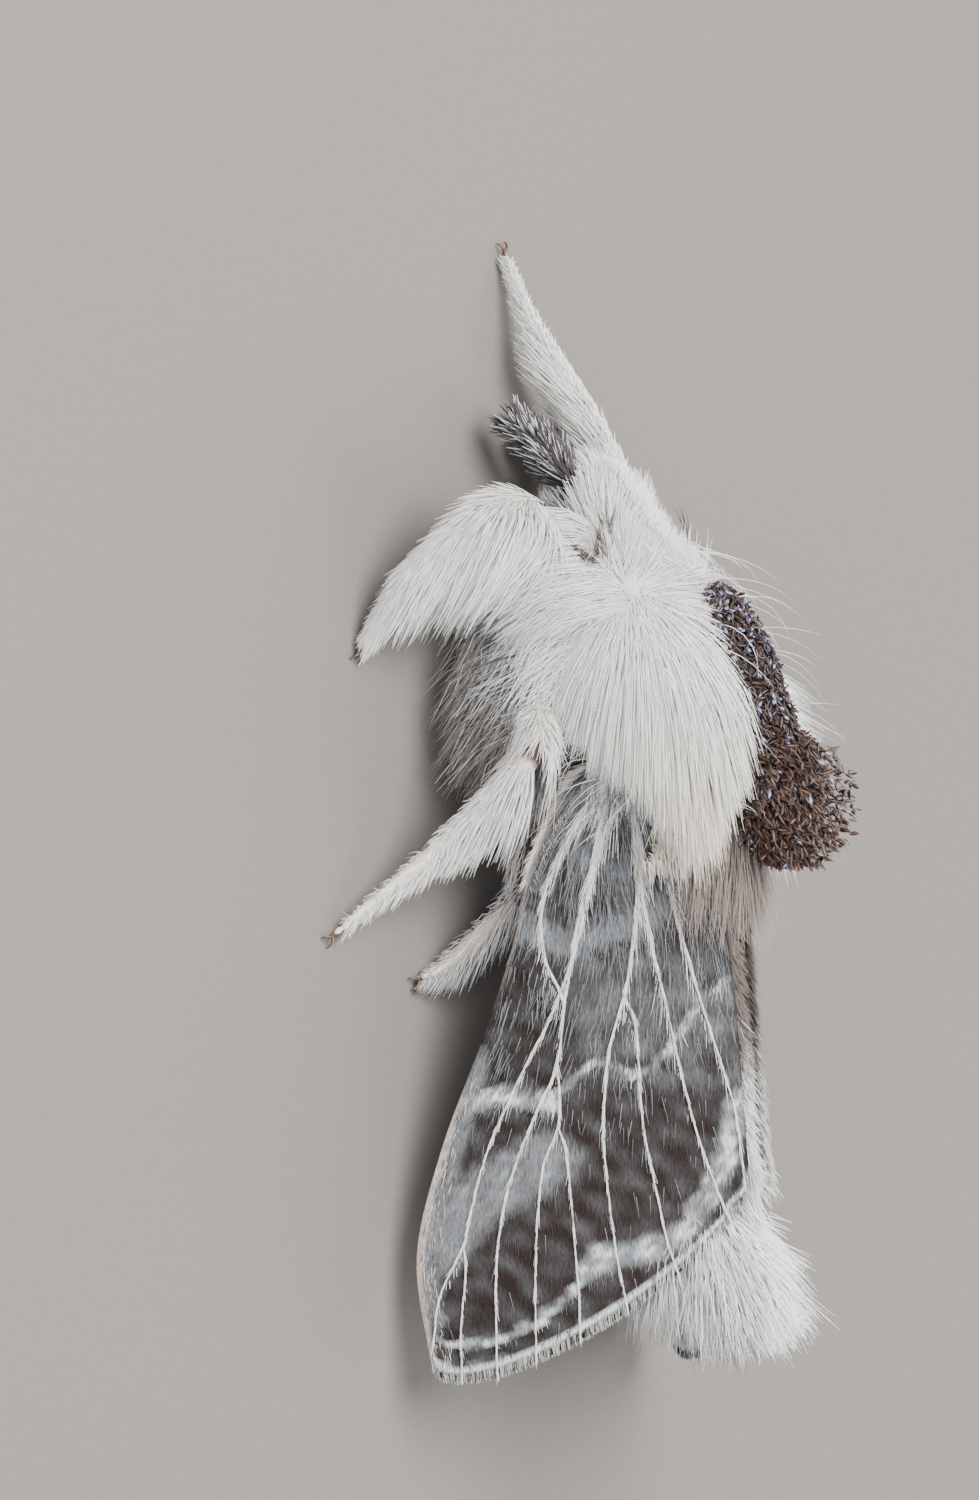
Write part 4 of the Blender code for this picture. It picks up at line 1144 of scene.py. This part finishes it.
def grow_ridge_hair(finish):
    """Grey-brown hair that lies back from under the crest over the folded wings."""
    count = 1300
    draw, grid = scatter(131, count)
    x = -1.5 + 3.0 * grid[:, 0]
    y = -1.2 + 2.6 * grid[:, 1]
    surface = ridge_at(y) - np.abs(x) / math.cos(ROOF_ANGLE) * math.sin(ROOF_ANGLE) + 0.1
    roots = np.stack([x, y, surface], axis=-1)
    side = np.where(x >= 0, 1.0, -1.0)
    outs = unit(roof_out(side) + UP * 0.6)
    first = unit(BACK * 0.5 + outs + draw.normal(0, 0.15, (count, 3)))
    first = first * draw.uniform(0.4, 1.3, count)[:, None]
    down = roof_out(side) * 0.18 - UP * 0.12
    second = unit(BACK + down + draw.normal(0, 0.12, (count, 3)))
    second = second * draw.uniform(1.6, 3.6, count)[:, None]
    lines = waver(gather(bow(roots, outs, first, second, 5), 9, 0.35, draw), 0.12, draw)
    tints = tone_hairs(lines, RIDGE_ROOT, RIDGE_TIP, 0.15, draw)
    centres = 0.02 + 0.96 * grid
    coat("ridge_hair", finish, lines, outs, HAIR_HALF * draw.uniform(0.5, 0.9, count), tints,
         centres)


def grow_seam(finish):
    """Hair that closes the seam between the folded wings, brown in front and white behind."""
    count = 900
    draw, grid = scatter(139, count)
    x = -0.5 + 1.0 * grid[:, 0]
    y = 0.8 + 12.4 * grid[:, 1]
    roots = np.stack([x, y, ridge_at(y) - 0.95 - 0.3 * np.abs(x)], axis=-1)
    outs = np.tile(UP, (count, 1))
    lie = unit(BACK + UP * draw.uniform(0.15, 0.55, count)[:, None] + draw.normal(0, 0.12, (count, 3)))
    lines = grow(roots, outs, straight(lie), draw.uniform(0.9, 1.6, count), 0.5, 3)
    white = smooth(y + draw.normal(0, 0.6, count), 6.5, 9.0)[:, None, None]
    colour = blend(SEAM_BROWN, VEIN_WHITE, white)
    tints = tone_hairs(lines, colour * 0.8, colour, 0.12, draw)
    centres = 0.02 + 0.96 * grid
    coat("wing_seam_hair", finish, lines, outs, HAIR_HALF * draw.uniform(0.6, 1.0, count),
         tints, centres)


# Skin

def loft(bm, path, halves, ups):
    """Adds one closed form through sections square to a path."""
    tangents = unit(np.gradient(path, axis=0))
    before = None
    for centre, tangent, (half_width, half_height), up in zip(path, tangents, halves, ups):
        side = unit(np.cross(up, tangent))
        across = np.cross(tangent, side)
        rows = np.stack([side * half_width, across * half_height, tangent, centre], axis=-1)
        section = Matrix([*rows.tolist(), [0, 0, 0, 1]])
        if before is None:
            verts = bmesh.ops.create_circle(bm, cap_ends=True, segments=LOFT_SIDES, radius=1.0)["verts"]
            bmesh.ops.transform(bm, matrix=section, verts=verts)
            edges = list({edge for vert in verts for edge in vert.link_edges})
        else:
            made = bmesh.ops.extrude_edge_only(bm, edges=edges)["geom"]
            verts = [item for item in made if isinstance(item, bmesh.types.BMVert)]
            edges = [item for item in made if isinstance(item, bmesh.types.BMEdge) and item.is_boundary]
            bmesh.ops.transform(bm, matrix=section @ before.inverted(), verts=verts)
        before = section
    bmesh.ops.contextual_create(bm, geom=edges)


def rod(bm, path, radii, up=UP):
    """Adds one closed round form along a path."""
    loft(bm, path, np.stack([radii, radii], axis=-1), np.tile(up, (len(path), 1)))


def skin_tints(places):
    """The coat's own markings on the skin: white above and on the head, grey-brown on chest and abdomen."""
    height, width, tall = body_at(places[:, 1])
    angle = np.degrees(np.arctan2(np.abs(places[:, 0]) / width, (places[:, 2] - height) / tall))
    chest = smooth(angle, 88, 104) * smooth(places[:, 1], -8.2, -7.0)
    rear = smooth(places[:, 1], -0.5, 1.5) * (1 - smooth(places[:, 1], 11.0, 12.4))
    dark = np.maximum(chest, rear)[:, None]
    leg = smooth(np.abs(places[:, 0]), 3.9, 4.6)[:, None] * (places[:, 1] < 8)[:, None]
    leg = np.maximum(leg, smooth(-places[:, 1], 12.2, 12.8)[:, None])
    tints = blend(COOL_HAIR * 0.8, DARK_HAIR * 0.9, dark)
    tints = blend(tints, LEG_SKIN, leg)
    for side, _ in SIDES:
        gap = np.linalg.norm(places - np.array(on_side(MIDLEG, side)[2]), axis=1)
        tints = blend(tints, CUTICLE_BROWN * 0.5, smooth(gap, 0.62, 0.45)[:, None])
    crest = ((places[:, 2] > height + tall + 0.15) & (np.abs(places[:, 0]) < 1.2)
             & (places[:, 1] > -8.0) & (places[:, 1] < 2.0))[:, None]
    tints = np.where(crest, CREST_SKIN, tints)
    for joints in PALPS.values():
        path = smooth_path(joints, 3)[1:]
        near = np.linalg.norm(places[:, None] - path[None], axis=2).min(axis=1) < 0.6
        tints[near] = PALP_SKIN
    return tints


def trunk(bm, rows, sections, drop=0.0, share=1.0, inset=0.0):
    """Adds one upright form through rows of back, centre height, half width and half height."""
    rows = between(rows, np.linspace(0, 1, sections))
    centres = np.stack([np.zeros(sections), rows[:, 0], rows[:, 1] - drop], axis=-1)
    loft(bm, centres, rows[:, 2:] * share - inset, np.tile(UP, (sections, 1)))


def build_skin(finish):
    """One skin over head, body, crest, palps and legs."""
    bm = bmesh.new()
    trunk(bm, BODY, 60, inset=SKIN_INSET)
    for joints in leg_paths().values():
        path, radii = leg_form(joints)
        rod(bm, path, radii, unit(UP + BACK * 0.1))
    trunk(bm, CREST, 30, drop=0.15, share=0.78)
    for joints in PALPS.values():
        path = smooth_path(joints, 4)
        rod(bm, path, np.linspace(*PALP_HALVES, len(path)))
    bmesh.ops.recalc_face_normals(bm, faces=bm.faces[:])
    rough = bpy.data.meshes.new("rough_skin")
    bm.to_mesh(rough)
    bm.free()
    holder = new_object("rough_skin", rough, finish)
    remesh = holder.modifiers.new("Close", "REMESH")
    remesh.mode = "VOXEL"
    remesh.voxel_size = SKIN_VOXEL
    soften = holder.modifiers.new("Soften", "SMOOTH")
    soften.factor = 0.5
    soften.iterations = 6
    graph = bpy.context.evaluated_depsgraph_get()
    mesh = bpy.data.meshes.new_from_object(holder.evaluated_get(graph))
    bpy.data.objects.remove(holder, do_unlink=True)
    mesh.transform(Matrix.Scale(MM, 4))
    mesh.name = "skin"
    mesh.shade_smooth()
    places = places_of(mesh)
    places[:, 2] = np.maximum(places[:, 2], 0.0)
    mesh.vertices.foreach_set("co", (places * MM).astype(np.float32).ravel())
    set_tint(mesh, skin_tints(places))
    legs = [f"{name}_{part}" for name in leg_paths() for part in ("upper", "lower")]
    piece("moth_skin", mesh, finish,
          ["head", "thorax", "abdomen", "tail_tuft", "thorax_crest", "palp_left", "palp_right", *legs])


# Wings

def wing_place(costa, inner, bulge, along, across):
    """Distance down the roof and back, for shares along the wing and across it from the costa."""
    front = smooth_path(costa, 12)
    rear = smooth_path(inner, 12)
    place = between(front, along) * (1 - across)[..., None] + between(rear, along) * across[..., None]
    place[..., 1] += bulge * along**3 * np.sqrt(np.maximum(4 * across * (1 - across), 0))
    return place


def off_edge(along, across):
    """0 on the wing's edges and 1 a little way inside them."""
    return smooth(np.minimum(across, 1 - across), 0.0, 0.02) * smooth(1 - along, 0.0, 0.02)


def arch(along, across):
    """How far a folded wing bulges out between its edges."""
    return CAMBER * np.sin(math.pi * across) * along


def wing_lift(places, along, across):
    """How far the middle of a wing's sheet stands out from its roof plane."""
    uneven = 0.035 * ripple(places, 21, 1.1) * off_edge(along, across)
    return arch(along, across) + uneven


def on_forewing(side, along, across, lift):
    """Places on the flat forewing, points on the folded one, and the ways along it and out of it."""
    places = wing_place(*FOREWING, along, across)
    ahead = wing_place(*FOREWING, np.minimum(along + 0.01, 1.0), across)
    roots = on_roof(side, places[:, 0], places[:, 1], lift)
    way = unit(on_roof(side, ahead[:, 0], ahead[:, 1], lift) - roots)
    return places, roots, way, roof_out(np.full(len(along), float(side)))


def line_distance(places, points):
    """How far flat places lie from a smooth line."""
    path = smooth_path(points, 6)
    best = np.full(len(places), 1e9)
    for start, end in zip(path, path[1:]):
        way = end - start
        part = np.clip(((places - start) @ way) / (way @ way), 0, 1)
        best = np.minimum(best, np.linalg.norm(places - start - part[:, None] * way, axis=1))
    return best


def ripple(places, seed, size):
    """Smooth uneven values from -1 to 1 over flat places, for patches of about a given size."""
    draw = np.random.default_rng(seed)
    total = np.zeros(len(places))
    for _ in range(5):
        way = draw.normal(0, 1, 2)
        total += np.sin(places @ (way / size) * 2.2 + draw.uniform(0, math.tau))
    return total / 3.2


def forewing_marks(places, across, margin):
    """Ground colours, distance from the nearest vein and that vein's half width."""
    wander = np.stack([ripple(places, 5, 0.5), ripple(places, 6, 0.5)], axis=-1) * 0.12
    pale = 0.06 + 0.1 * ripple(places, 8, 0.7)
    middle = smooth(places[:, 1], 3.0, 5.0) * (1 - smooth(places[:, 1] + 0.5 * places[:, 0] / 6, 8.6, 10.2))
    middle *= 1 - smooth(places[:, 0], 5.6, 7.0)
    pale = np.maximum(pale, (0.25 + 0.2 * ripple(places, 7, 0.45)) * middle)
    base = smooth(-places[:, 1], -4.0, -1.5)
    pale = np.maximum(pale, (0.25 + 0.35 * ripple(places, 9, 0.4)) * base)
    for line, half, strength in BANDS:
        gap = line_distance(places + wander, line)
        patch = strength * (1 - smooth(gap, half * 0.55, half * 1.35))
        pale = np.maximum(pale, patch * (0.9 + 0.25 * ripple(places, 11, 0.3)))
    line_gap = np.abs(margin - MARGIN_LINE - 0.05 * ripple(places, 12, 0.6))
    pale = np.maximum(pale, 0.95 * (1 - smooth(line_gap, MARGIN_HALF * 0.5, MARGIN_HALF * 1.3)))
    pale = np.clip(pale, 0, 1)[:, None]
    darker = smooth(margin, 0.25, 0.05)[:, None]
    ground = blend(WING_GROUND, WING_DARK, darker)
    tints = blend(ground, WING_PALE, pale)
    bright = smooth(pale, 0.72, 1.0)
    tints = blend(tints, WING_BRIGHT, bright)
    costa = 1 - smooth(across, 0.0, 0.022)
    costa *= np.maximum(smooth(-places[:, 1], -7.5, -1.5), smooth(places[:, 1], 8.0, 11.0))
    tints = blend(tints, COSTA_PINK, costa[:, None])
    nearest = np.full(len(places), 9.0)
    half = np.full(len(places), 0.05)
    for vein in VEINS:
        gap = line_distance(places, vein)
        width = np.interp(places[:, 1], VEIN_STATIONS, VEIN_HALVES)
        closer = gap / width < nearest / half
        nearest[closer] = gap[closer]
        half[closer] = width[closer]
    return tints, nearest, half


def hindwing_marks(places, across, margin):
    """The plain smoky hindwing with one soft pale band."""
    pale = 0.25 + 0.1 * ripple(places, 15, 1.2)
    pale = np.maximum(pale, 0.6 * (1 - smooth(np.abs(margin - 3.2), 0.3, 0.9)))
    tints = blend(HINDWING_GROUND, HINDWING_PALE, pale[:, None])
    nearest = np.full(len(places), 9.0)
    half = np.full(len(places), 0.04)
    for share in (0.15, 0.38, 0.62, 0.85):
        gap = np.abs(across - share) * 8.0
        closer = gap < nearest
        nearest[closer] = gap[closer]
    return tints, nearest, half


def build_wing(kind, side, word, form, marks, depth, cells, finish):
    """A thin curved wing of two faces, with its veins raised and its markings in its own attributes."""
    bm = bmesh.new()
    bmesh.ops.create_grid(bm, x_segments=cells[0], y_segments=cells[1], size=0.5)
    faces = bm.faces[:]
    made = bmesh.ops.extrude_face_region(bm, geom=faces + bm.edges[:])["geom"]
    verts = [item for item in made if isinstance(item, bmesh.types.BMVert)]
    bmesh.ops.translate(bm, vec=(0, 0, -1), verts=verts)
    mesh = bpy.data.meshes.new(kind)
    bmesh.ops.recalc_face_normals(bm, faces=bm.faces[:])
    bm.to_mesh(mesh)
    bm.free()
    flat = places_of(mesh) * MM
    across = flat[:, 0] + 0.5
    along = flat[:, 1] + 0.5
    lower = flat[:, 2] < -0.5
    places = wing_place(*form, along, across)
    rim = wing_place(*form, np.ones_like(along), across)
    margin = np.linalg.norm(rim - places, axis=1)
    tints, gap, half = marks(places, across, margin)
    ridge = VEIN_RIDGE * np.exp(-((gap / (half * 1.6)) ** 2)) * smooth(along, 0.0, 0.1)
    thick = SHEET_HALF * (0.25 + 0.75 * off_edge(along, across)) + ridge
    lift = depth + wing_lift(places, along, across)
    points = on_roof(side, places[:, 0], places[:, 1], lift + np.where(lower, -thick, thick))
    mesh.vertices.foreach_set("co", (points * MM).astype(np.float32).ravel())
    if side < 0:
        mesh.flip_normals()
    mesh.shade_smooth()
    set_tint(mesh, np.where(lower[:, None], tints * 0.85 + 0.03, tints))
    # Only the veins near the base are drawn on the sheet; further out their own hairs show them
    drawn = np.maximum(half * (1 - smooth(places[:, 1], 5.0, 8.0)), 0.001)
    for attribute, values in (("VeinDistance", gap), ("VeinHalf", drawn)):
        layer = mesh.attributes.new(attribute, "FLOAT", "POINT")
        layer.data.foreach_set("value", values.astype(np.float32))
    corners = np.empty(len(mesh.loops), np.int32)
    mesh.loops.foreach_get("vertex_index", corners)
    place_map = mesh.uv_layers.new(name="WingPlace")
    place_map.data.foreach_set("uv", places[corners].astype(np.float32).ravel())
    piece(f"{kind}_sheet_{word}", mesh, finish, [f"{kind}_{word}"])


def grow_wing_hair(side, word, finish):
    """Hair-like scales that lie along the veins, white on veins and bands and brown between."""
    count = 11000
    draw, grid = scatter(103, count)
    along = 0.985 * grid[:, 0] ** 0.85
    across = 0.01 + 0.98 * grid[:, 1]
    places, roots, way, outs = on_forewing(side, along, across, arch(along, across) + SHEET_HALF)
    rim = wing_place(*FOREWING, np.ones_like(along), across)
    margin = np.linalg.norm(rim - places, axis=1)
    tints, gap, half = forewing_marks(places, across, margin)
    on_vein = (gap < half * 1.2)[:, None]
    loose = np.where(on_vein, 0.06, 0.16)
    lie = unit(way + outs * 0.13 + draw.normal(0, 1, (count, 3)) * loose)
    colour = np.where(on_vein, VEIN_WHITE, tints * 1.08 + 0.002)
    light = (draw.random(count) < np.interp(places[:, 1], (2, 9, 12), (0.2, 0.15, 0.03)))[:, None]
    colour = np.where(light & ~on_vein, WING_PALE * 0.75, colour)
    # The front edge is beige, speckled with brown
    front = (draw.random(count) < smooth(across, 0.08, 0.02) * smooth(places[:, 1], 8.0, 10.5))[:, None]
    speck = (draw.random(count) < 0.3)[:, None]
    colour = np.where(front, np.where(speck, SPECK_BROWN, SPECK_BEIGE), colour)
    lengths = np.interp(places[:, 1], (-1, 4, 19), (1.0, 0.62, 0.36)) * draw.uniform(0.6, 1.15, count)
    lengths = np.where(on_vein[:, 0], lengths * 1.15, lengths)
    lengths = np.where(light[:, 0], lengths * 1.8, lengths)
    lengths = np.minimum(lengths, margin + 0.15)
    lines = grow(roots, outs, straight(lie), lengths, 0.1, 2, sunk=SCALE_DEPTH)
    tints = tone_hairs(lines, colour[:, None] * 0.85, colour[:, None] * 1.1, 0.2, draw)
    centres = unwrap(across, along)
    widths = HAIR_HALF * draw.uniform(0.45, 0.85, count)
    coat("forewing_hair_" + word, finish, lines, outs, widths, tints, centres,
         profile=(1.0, 0.2), flat=0.5)


def grow_vein_hair(side, word, finish):
    """White hair-like scales in a narrow row along each vein."""
    draw = np.random.default_rng(104)
    spots, ways = [], []
    for vein in VEINS:
        path = smooth_path(vein, 12)
        hairs = int(np.linalg.norm(np.diff(path, axis=0), axis=1).sum() / VEIN_HAIR_GAP)
        share = (np.arange(hairs) + 0.5) / hairs
        spots.append(between(path, share))
        ways.append(unit(between(path, share + 0.01) - between(path, share - 0.01)))
    spots, ways = np.concatenate(spots), np.concatenate(ways)
    count = len(spots)
    width = np.interp(spots[:, 1], VEIN_STATIONS, (0.065, 0.036, 0.022, 0.014))
    beside = np.stack([ways[:, 1], -ways[:, 0]], axis=-1)
    spots = spots + beside * (draw.normal(0, 0.6, count) * width)[:, None]
    rows, columns = np.meshgrid(np.linspace(0, 1, 160), np.linspace(0, 1, 90), indexing="ij")
    rows, columns = rows.ravel(), columns.ravel()
    net = wing_place(*FOREWING, rows, columns)
    nearest = np.array([((net - spot) ** 2).sum(axis=1).argmin() for spot in spots])
    along, across = rows[nearest], columns[nearest]
    lift = wing_lift(spots, along, across) + SHEET_HALF + 0.09
    roots = on_roof(side, spots[:, 0], spots[:, 1], lift)
    ahead = spots + ways * 0.1
    lie = unit(on_roof(side, ahead[:, 0], ahead[:, 1], lift) - roots)
    outs = roof_out(np.full(count, float(side)))
    lie = unit(lie + outs * 0.1 + draw.normal(0, 0.06, (count, 3)))
    lengths = np.interp(spots[:, 1], (-1.5, 1.5, 4, 19), (1.3, 0.9, 0.55, 0.38))
    lengths *= draw.uniform(0.7, 1.2, count)
    lines = grow(roots, outs, straight(lie), lengths, 0.03, 2, sunk=SCALE_DEPTH)
    tints = tone_hairs(lines, VEIN_WHITE * 0.9, VEIN_WHITE, 0.12, draw)
    centres = unwrap(across, along)
    widths = HAIR_HALF * np.interp(spots[:, 1], (0, 18), (0.8, 0.55)) * draw.uniform(0.7, 1.1, count)
    coat("forewing_vein_hair_" + word, finish, lines, outs, widths, tints, centres,
         profile=(1.0, 0.3), flat=0.6)


def grow_costa_comb(side, word, finish):
    """Pinkish-beige hair set like a comb across the thick front edge at the wing's base."""
    draw = np.random.default_rng(105)
    count = 700
    along = 0.02 + 0.3 * draw.random(count)
    across = np.full(count, 0.004)
    _, roots, way, outs = on_forewing(side, along, across, 0.0)
    inside = wing_place(*FOREWING, along, across + 0.1)
    inward = unit(on_roof(side, inside[:, 0], inside[:, 1], 0.0) - roots)
    hand = np.where(draw.random(count) < 0.5, 1.0, -1.0)[:, None]
    lie = unit(way * 1.1 + inward * hand * 0.7 + outs * 0.25 + draw.normal(0, 0.12, (count, 3)))
    lengths = draw.uniform(0.5, 1.1, count) * np.interp(along, (0.02, 0.32), (1.1, 0.6))
    lines = grow(roots, outs, straight(lie), lengths, 0.6, 3)
    tints = tone_hairs(lines, COSTA_PINK * 0.9, COSTA_PINK, 0.1, draw)
    centres = np.stack([0.01 + 0.2 * draw.random(count), 0.01 + 0.98 * along], axis=-1)
    coat("forewing_costa_hair_" + word, finish, lines, outs, HAIR_HALF * 0.8, tints,
         centres)


def grow_inner_fringe(side, word, finish):
    """Pale hair along the forewing's inner edge, which meets the other wing on the ridge."""
    draw = np.random.default_rng(106)
    count = 1700
    along = 0.2 + 0.79 * draw.random(count)
    across = np.full(count, 0.995)
    places, roots, way, outs = on_forewing(side, along, across, draw.uniform(-0.08, 0.12, count))
    toward = np.stack([-side * np.full(count, math.cos(ROOF_ANGLE)), 0 * along,
                       np.full(count, math.sin(ROOF_ANGLE))], axis=-1)
    cross = np.where(draw.random(count) < 0.6, draw.uniform(0.6, 1.1, count), 0.3)[:, None]
    lie = unit(way + toward * cross + outs * 0.12 + draw.normal(0, 0.12, (count, 3)))
    lengths = draw.uniform(0.4, 0.85, count) * np.interp(places[:, 1], (10.5, 12.2), (1.0, 1.6))
    lines = grow(roots, outs, straight(lie), lengths, 0.2, 3, sunk=SCALE_DEPTH)
    white = smooth(places[:, 1] + draw.normal(0, 0.6, count), 7.0, 9.5)[:, None, None]
    colour = blend(SEAM_BROWN, VEIN_WHITE, white)
    tints = tone_hairs(lines, colour * 0.85, colour, 0.12, draw)
    centres = np.stack([0.8 + 0.19 * draw.random(count), 0.01 + 0.98 * along], axis=-1)
    coat("forewing_inner_hair_" + word, finish, lines, outs,
         HAIR_HALF * draw.uniform(0.5, 1.0, count), tints, centres)


def grow_fringe(side, word, finish):
    """The short fringe along the forewing's outer margin, mostly pale with brown hairs between."""
    draw = np.random.default_rng(107)
    count = 2000
    across = (np.arange(count) + draw.random(count)) / count
    edge = wing_place(*FOREWING, np.full(count, 0.995), across)
    inside = wing_place(*FOREWING, np.full(count, 0.96), across)
    lift = arch(1.0, across) + draw.uniform(-0.08, 0.08, count)
    roots = on_roof(side, edge[:, 0], edge[:, 1], lift)
    way = unit(roots - on_roof(side, inside[:, 0], inside[:, 1], lift))
    outs = roof_out(np.full(count, float(side)))
    lie = unit(way + draw.normal(0, 0.12, (count, 3)))
    lengths = draw.uniform(0.2, 0.42, count)
    lines = grow(roots, way, straight(lie), lengths, 1.0, 2)
    pale = (draw.random(count) < 0.74)[:, None]
    colour = np.where(pale, FRINGE_PALE, FRINGE_BROWN)
    tints = tone_hairs(lines, colour[:, None] * 0.8, colour[:, None] * 1.15, 0.2, draw)
    centres = unwrap(across, np.ones(count))
    coat("forewing_fringe_" + word, finish, lines, outs, HAIR_HALF, tints, centres,
         profile=(1.0, 0.25))


# Eyes, feelers and claws

def build_eyes(finish):
    for side, word in SIDES:
        bm = bmesh.new()
        centre = Vector(on_side([EYE_PLACE], side)[0])
        bmesh.ops.create_icosphere(bm, subdivisions=5, radius=EYE_RADIUS, matrix=Matrix.Translation(centre))
        piece("compound_eye_" + word, new_mesh("eye", bm), finish, ["eye_" + word])


def build_antennae(shaft_finish, tooth_finish):
    """A tapering shaft with a row of fine comb teeth on each side."""
    for side, word in SIDES:
        path = smooth_path(on_side(ANTENNA, side), 10)
        bm = bmesh.new()
        rod(bm, path, np.linspace(*SHAFT_HALVES, len(path)))
        piece("antenna_shaft_" + word, new_mesh("shaft", bm), shaft_finish, ["antenna_" + word])
        draw = np.random.default_rng(109)
        count = 120
        along = np.repeat(np.linspace(0.04, 0.98, count // 2), 2)
        hand = np.tile([1.0, -1.0], count // 2)
        roots = between(path, along)
        ahead = unit(between(path, along + 0.02) - between(path, along - 0.02))
        across = unit(np.cross(ahead, UP)) * hand[:, None]
        lie = unit(across + ahead * 0.6 - UP * 0.35)
        lengths = 0.42 * np.sin(math.pi * np.clip(along, 0.06, 0.97)) ** 0.5
        lines = grow(roots, across, straight(lie), lengths, 0.3, 5)
        tints = tone_hairs(lines, TOOTH_ROOT, TOOTH_TIP, 0.1, draw)
        centres = np.stack([along, 0.5 + 0.2 * hand], axis=-1)
        coat("antenna_teeth_" + word, tooth_finish, lines, np.tile(UP, (count, 1)), TOOTH_HALF,
             tints, centres)


def build_claws(finish):
    """Two small hooked claws on each foot, their tips on the floor."""
    for name, joints in leg_paths().items():
        path = smooth_path(joints, 8)
        end = path[-1]
        way = unit(path[-1] - path[-3])
        way[2] = min(way[2], 0)
        flat = unit(np.array([way[0], way[1], 0.0]))
        side_way = np.cross(UP, flat)
        bm = bmesh.new()
        for hand in (1, -1):
            points = [end, end + flat * 0.2 + side_way * 0.1 * hand + UP * 0.05,
                      end + flat * 0.36 + side_way * 0.2 * hand - UP * 0.04,
                      end + flat * 0.42 + side_way * 0.22 * hand - UP * 0.15]
            line = smooth_path(points, 4)
            line[:, 2] = np.maximum(line[:, 2], 0.05)
            rod(bm, line, np.linspace(*CLAW_HALVES, len(line)))
        piece(name + "_claws", new_mesh("claws", bm), finish)


# Surroundings

def build_floor():
    bm = bmesh.new()
    bmesh.ops.create_grid(bm, x_segments=1, y_segments=1, size=FLOOR_HALF)
    floor = new_object("floor", new_mesh("floor", bm), floor_material())


def area_light(name, place, target, size, power, colour):
    light = bpy.data.lights.new(name, "AREA")
    light.shape = "DISK"
    light.size = size * MM
    light.energy = power
    light.color = colour
    holder = bpy.data.objects.new(name, light)
    bpy.context.scene.collection.objects.link(holder)
    holder.location = Vector(place) * MM
    aim = Vector(target) - Vector(place)
    holder.rotation_euler = aim.to_track_quat("-Z", "Y").to_euler()


def build_lights():
    area_light("key", (50, -80, 190), (0, -2, 4), 190, 1.3, (1.0, 0.985, 0.96))
    area_light("fill", (200, 40, 60), (0, 0, 4), 160, 0.3, (0.98, 0.99, 1.0))
    area_light("rim", (-120, 60, 120), (0, 0, 4), 120, 0.3, (0.98, 0.99, 1.0))
    world = bpy.data.worlds.new("studio")
    world.use_nodes = True
    backdrop = world.node_tree.nodes["Background"]
    backdrop.inputs["Color"].default_value = (0.93, 0.96, 1.0, 1.0)
    backdrop.inputs["Strength"].default_value = 0.78
    bpy.context.scene.world = world


def build_camera():
    """The photograph's view: from the moth's left and above, turned so that its head points up."""
    right = Vector((-math.sin(VIEW_ELEVATION), 0, math.cos(VIEW_ELEVATION)))
    up = Vector((0, -1, 0))
    back = right.cross(up)
    width, height = PHOTO_SIZE
    centre = right * ((width / 2 - PHOTO_ZERO[0]) / PHOTO_SCALE)
    centre += up * ((PHOTO_ZERO[1] - height / 2) / PHOTO_SCALE)
    distance = height / PHOTO_SCALE * LENS_MM / SENSOR_MM
    lens = bpy.data.cameras.new("camera")
    lens.lens = LENS_MM
    lens.sensor_width = SENSOR_MM
    lens.clip_start = 0.01
    lens.clip_end = 10.0
    camera = bpy.data.objects.new("camera", lens)
    bpy.context.scene.collection.objects.link(camera)
    turn = Matrix([[right[row], up[row], back[row]] for row in range(3)]).to_4x4()
    place = (centre + back * (FOCUS_DEPTH + distance)) * MM
    camera.matrix_world = Matrix.Translation(place) @ turn
    bpy.context.scene.camera = camera


def main():
    build_camera()
    build_lights()
    build_floor()
    white = hair_material("white hair of hollow chitin", 0.6, 0.25, 0.5)
    grey = hair_material("grey hair of hollow chitin", 0.65, 0.04)
    build_skin(skin_material())
    grow_cape(white)
    grow_shoulder(white)
    grow_chest(grey)
    grow_head(white)
    grow_face(white)
    grow_nape(grey)
    grow_legs(white)
    grow_tail(white)
    grow_abdomen(grey)
    grow_palps(grey)
    grow_wing_roots(white)
    grow_far_fan(white)
    grow_strays(white)
    grow_ridge_hair(grey)
    grow_seam(grey)
    build_crest(crest_material())
    forewing_finish = wing_material("forewing scales of flat chitin")
    hindwing_finish = wing_material("hindwing scales of flat chitin")
    scale_hair = hair_material("hair-like wing scales", 0.65, 0.0)
    for side, word in SIDES:
        build_wing("forewing", side, word, FOREWING, forewing_marks, 0.0, (82, 156), forewing_finish)
        build_wing("hindwing", side, word, HINDWING, hindwing_marks, -HINDWING_DEPTH, (44, 66),
                   hindwing_finish)
        for grow_coat in (grow_wing_hair, grow_vein_hair, grow_costa_comb, grow_inner_fringe, grow_fringe):
            grow_coat(side, word, scale_hair)
    build_eyes(eye_material())
    build_antennae(horn_material("antenna shaft of brown chitin", SHAFT_BROWN, 0.5),
                   hair_material("antenna comb teeth of chitin", 0.5, 0.1))
    build_claws(horn_material("claw of brown chitin", CUTICLE_BROWN, 0.3))


main()
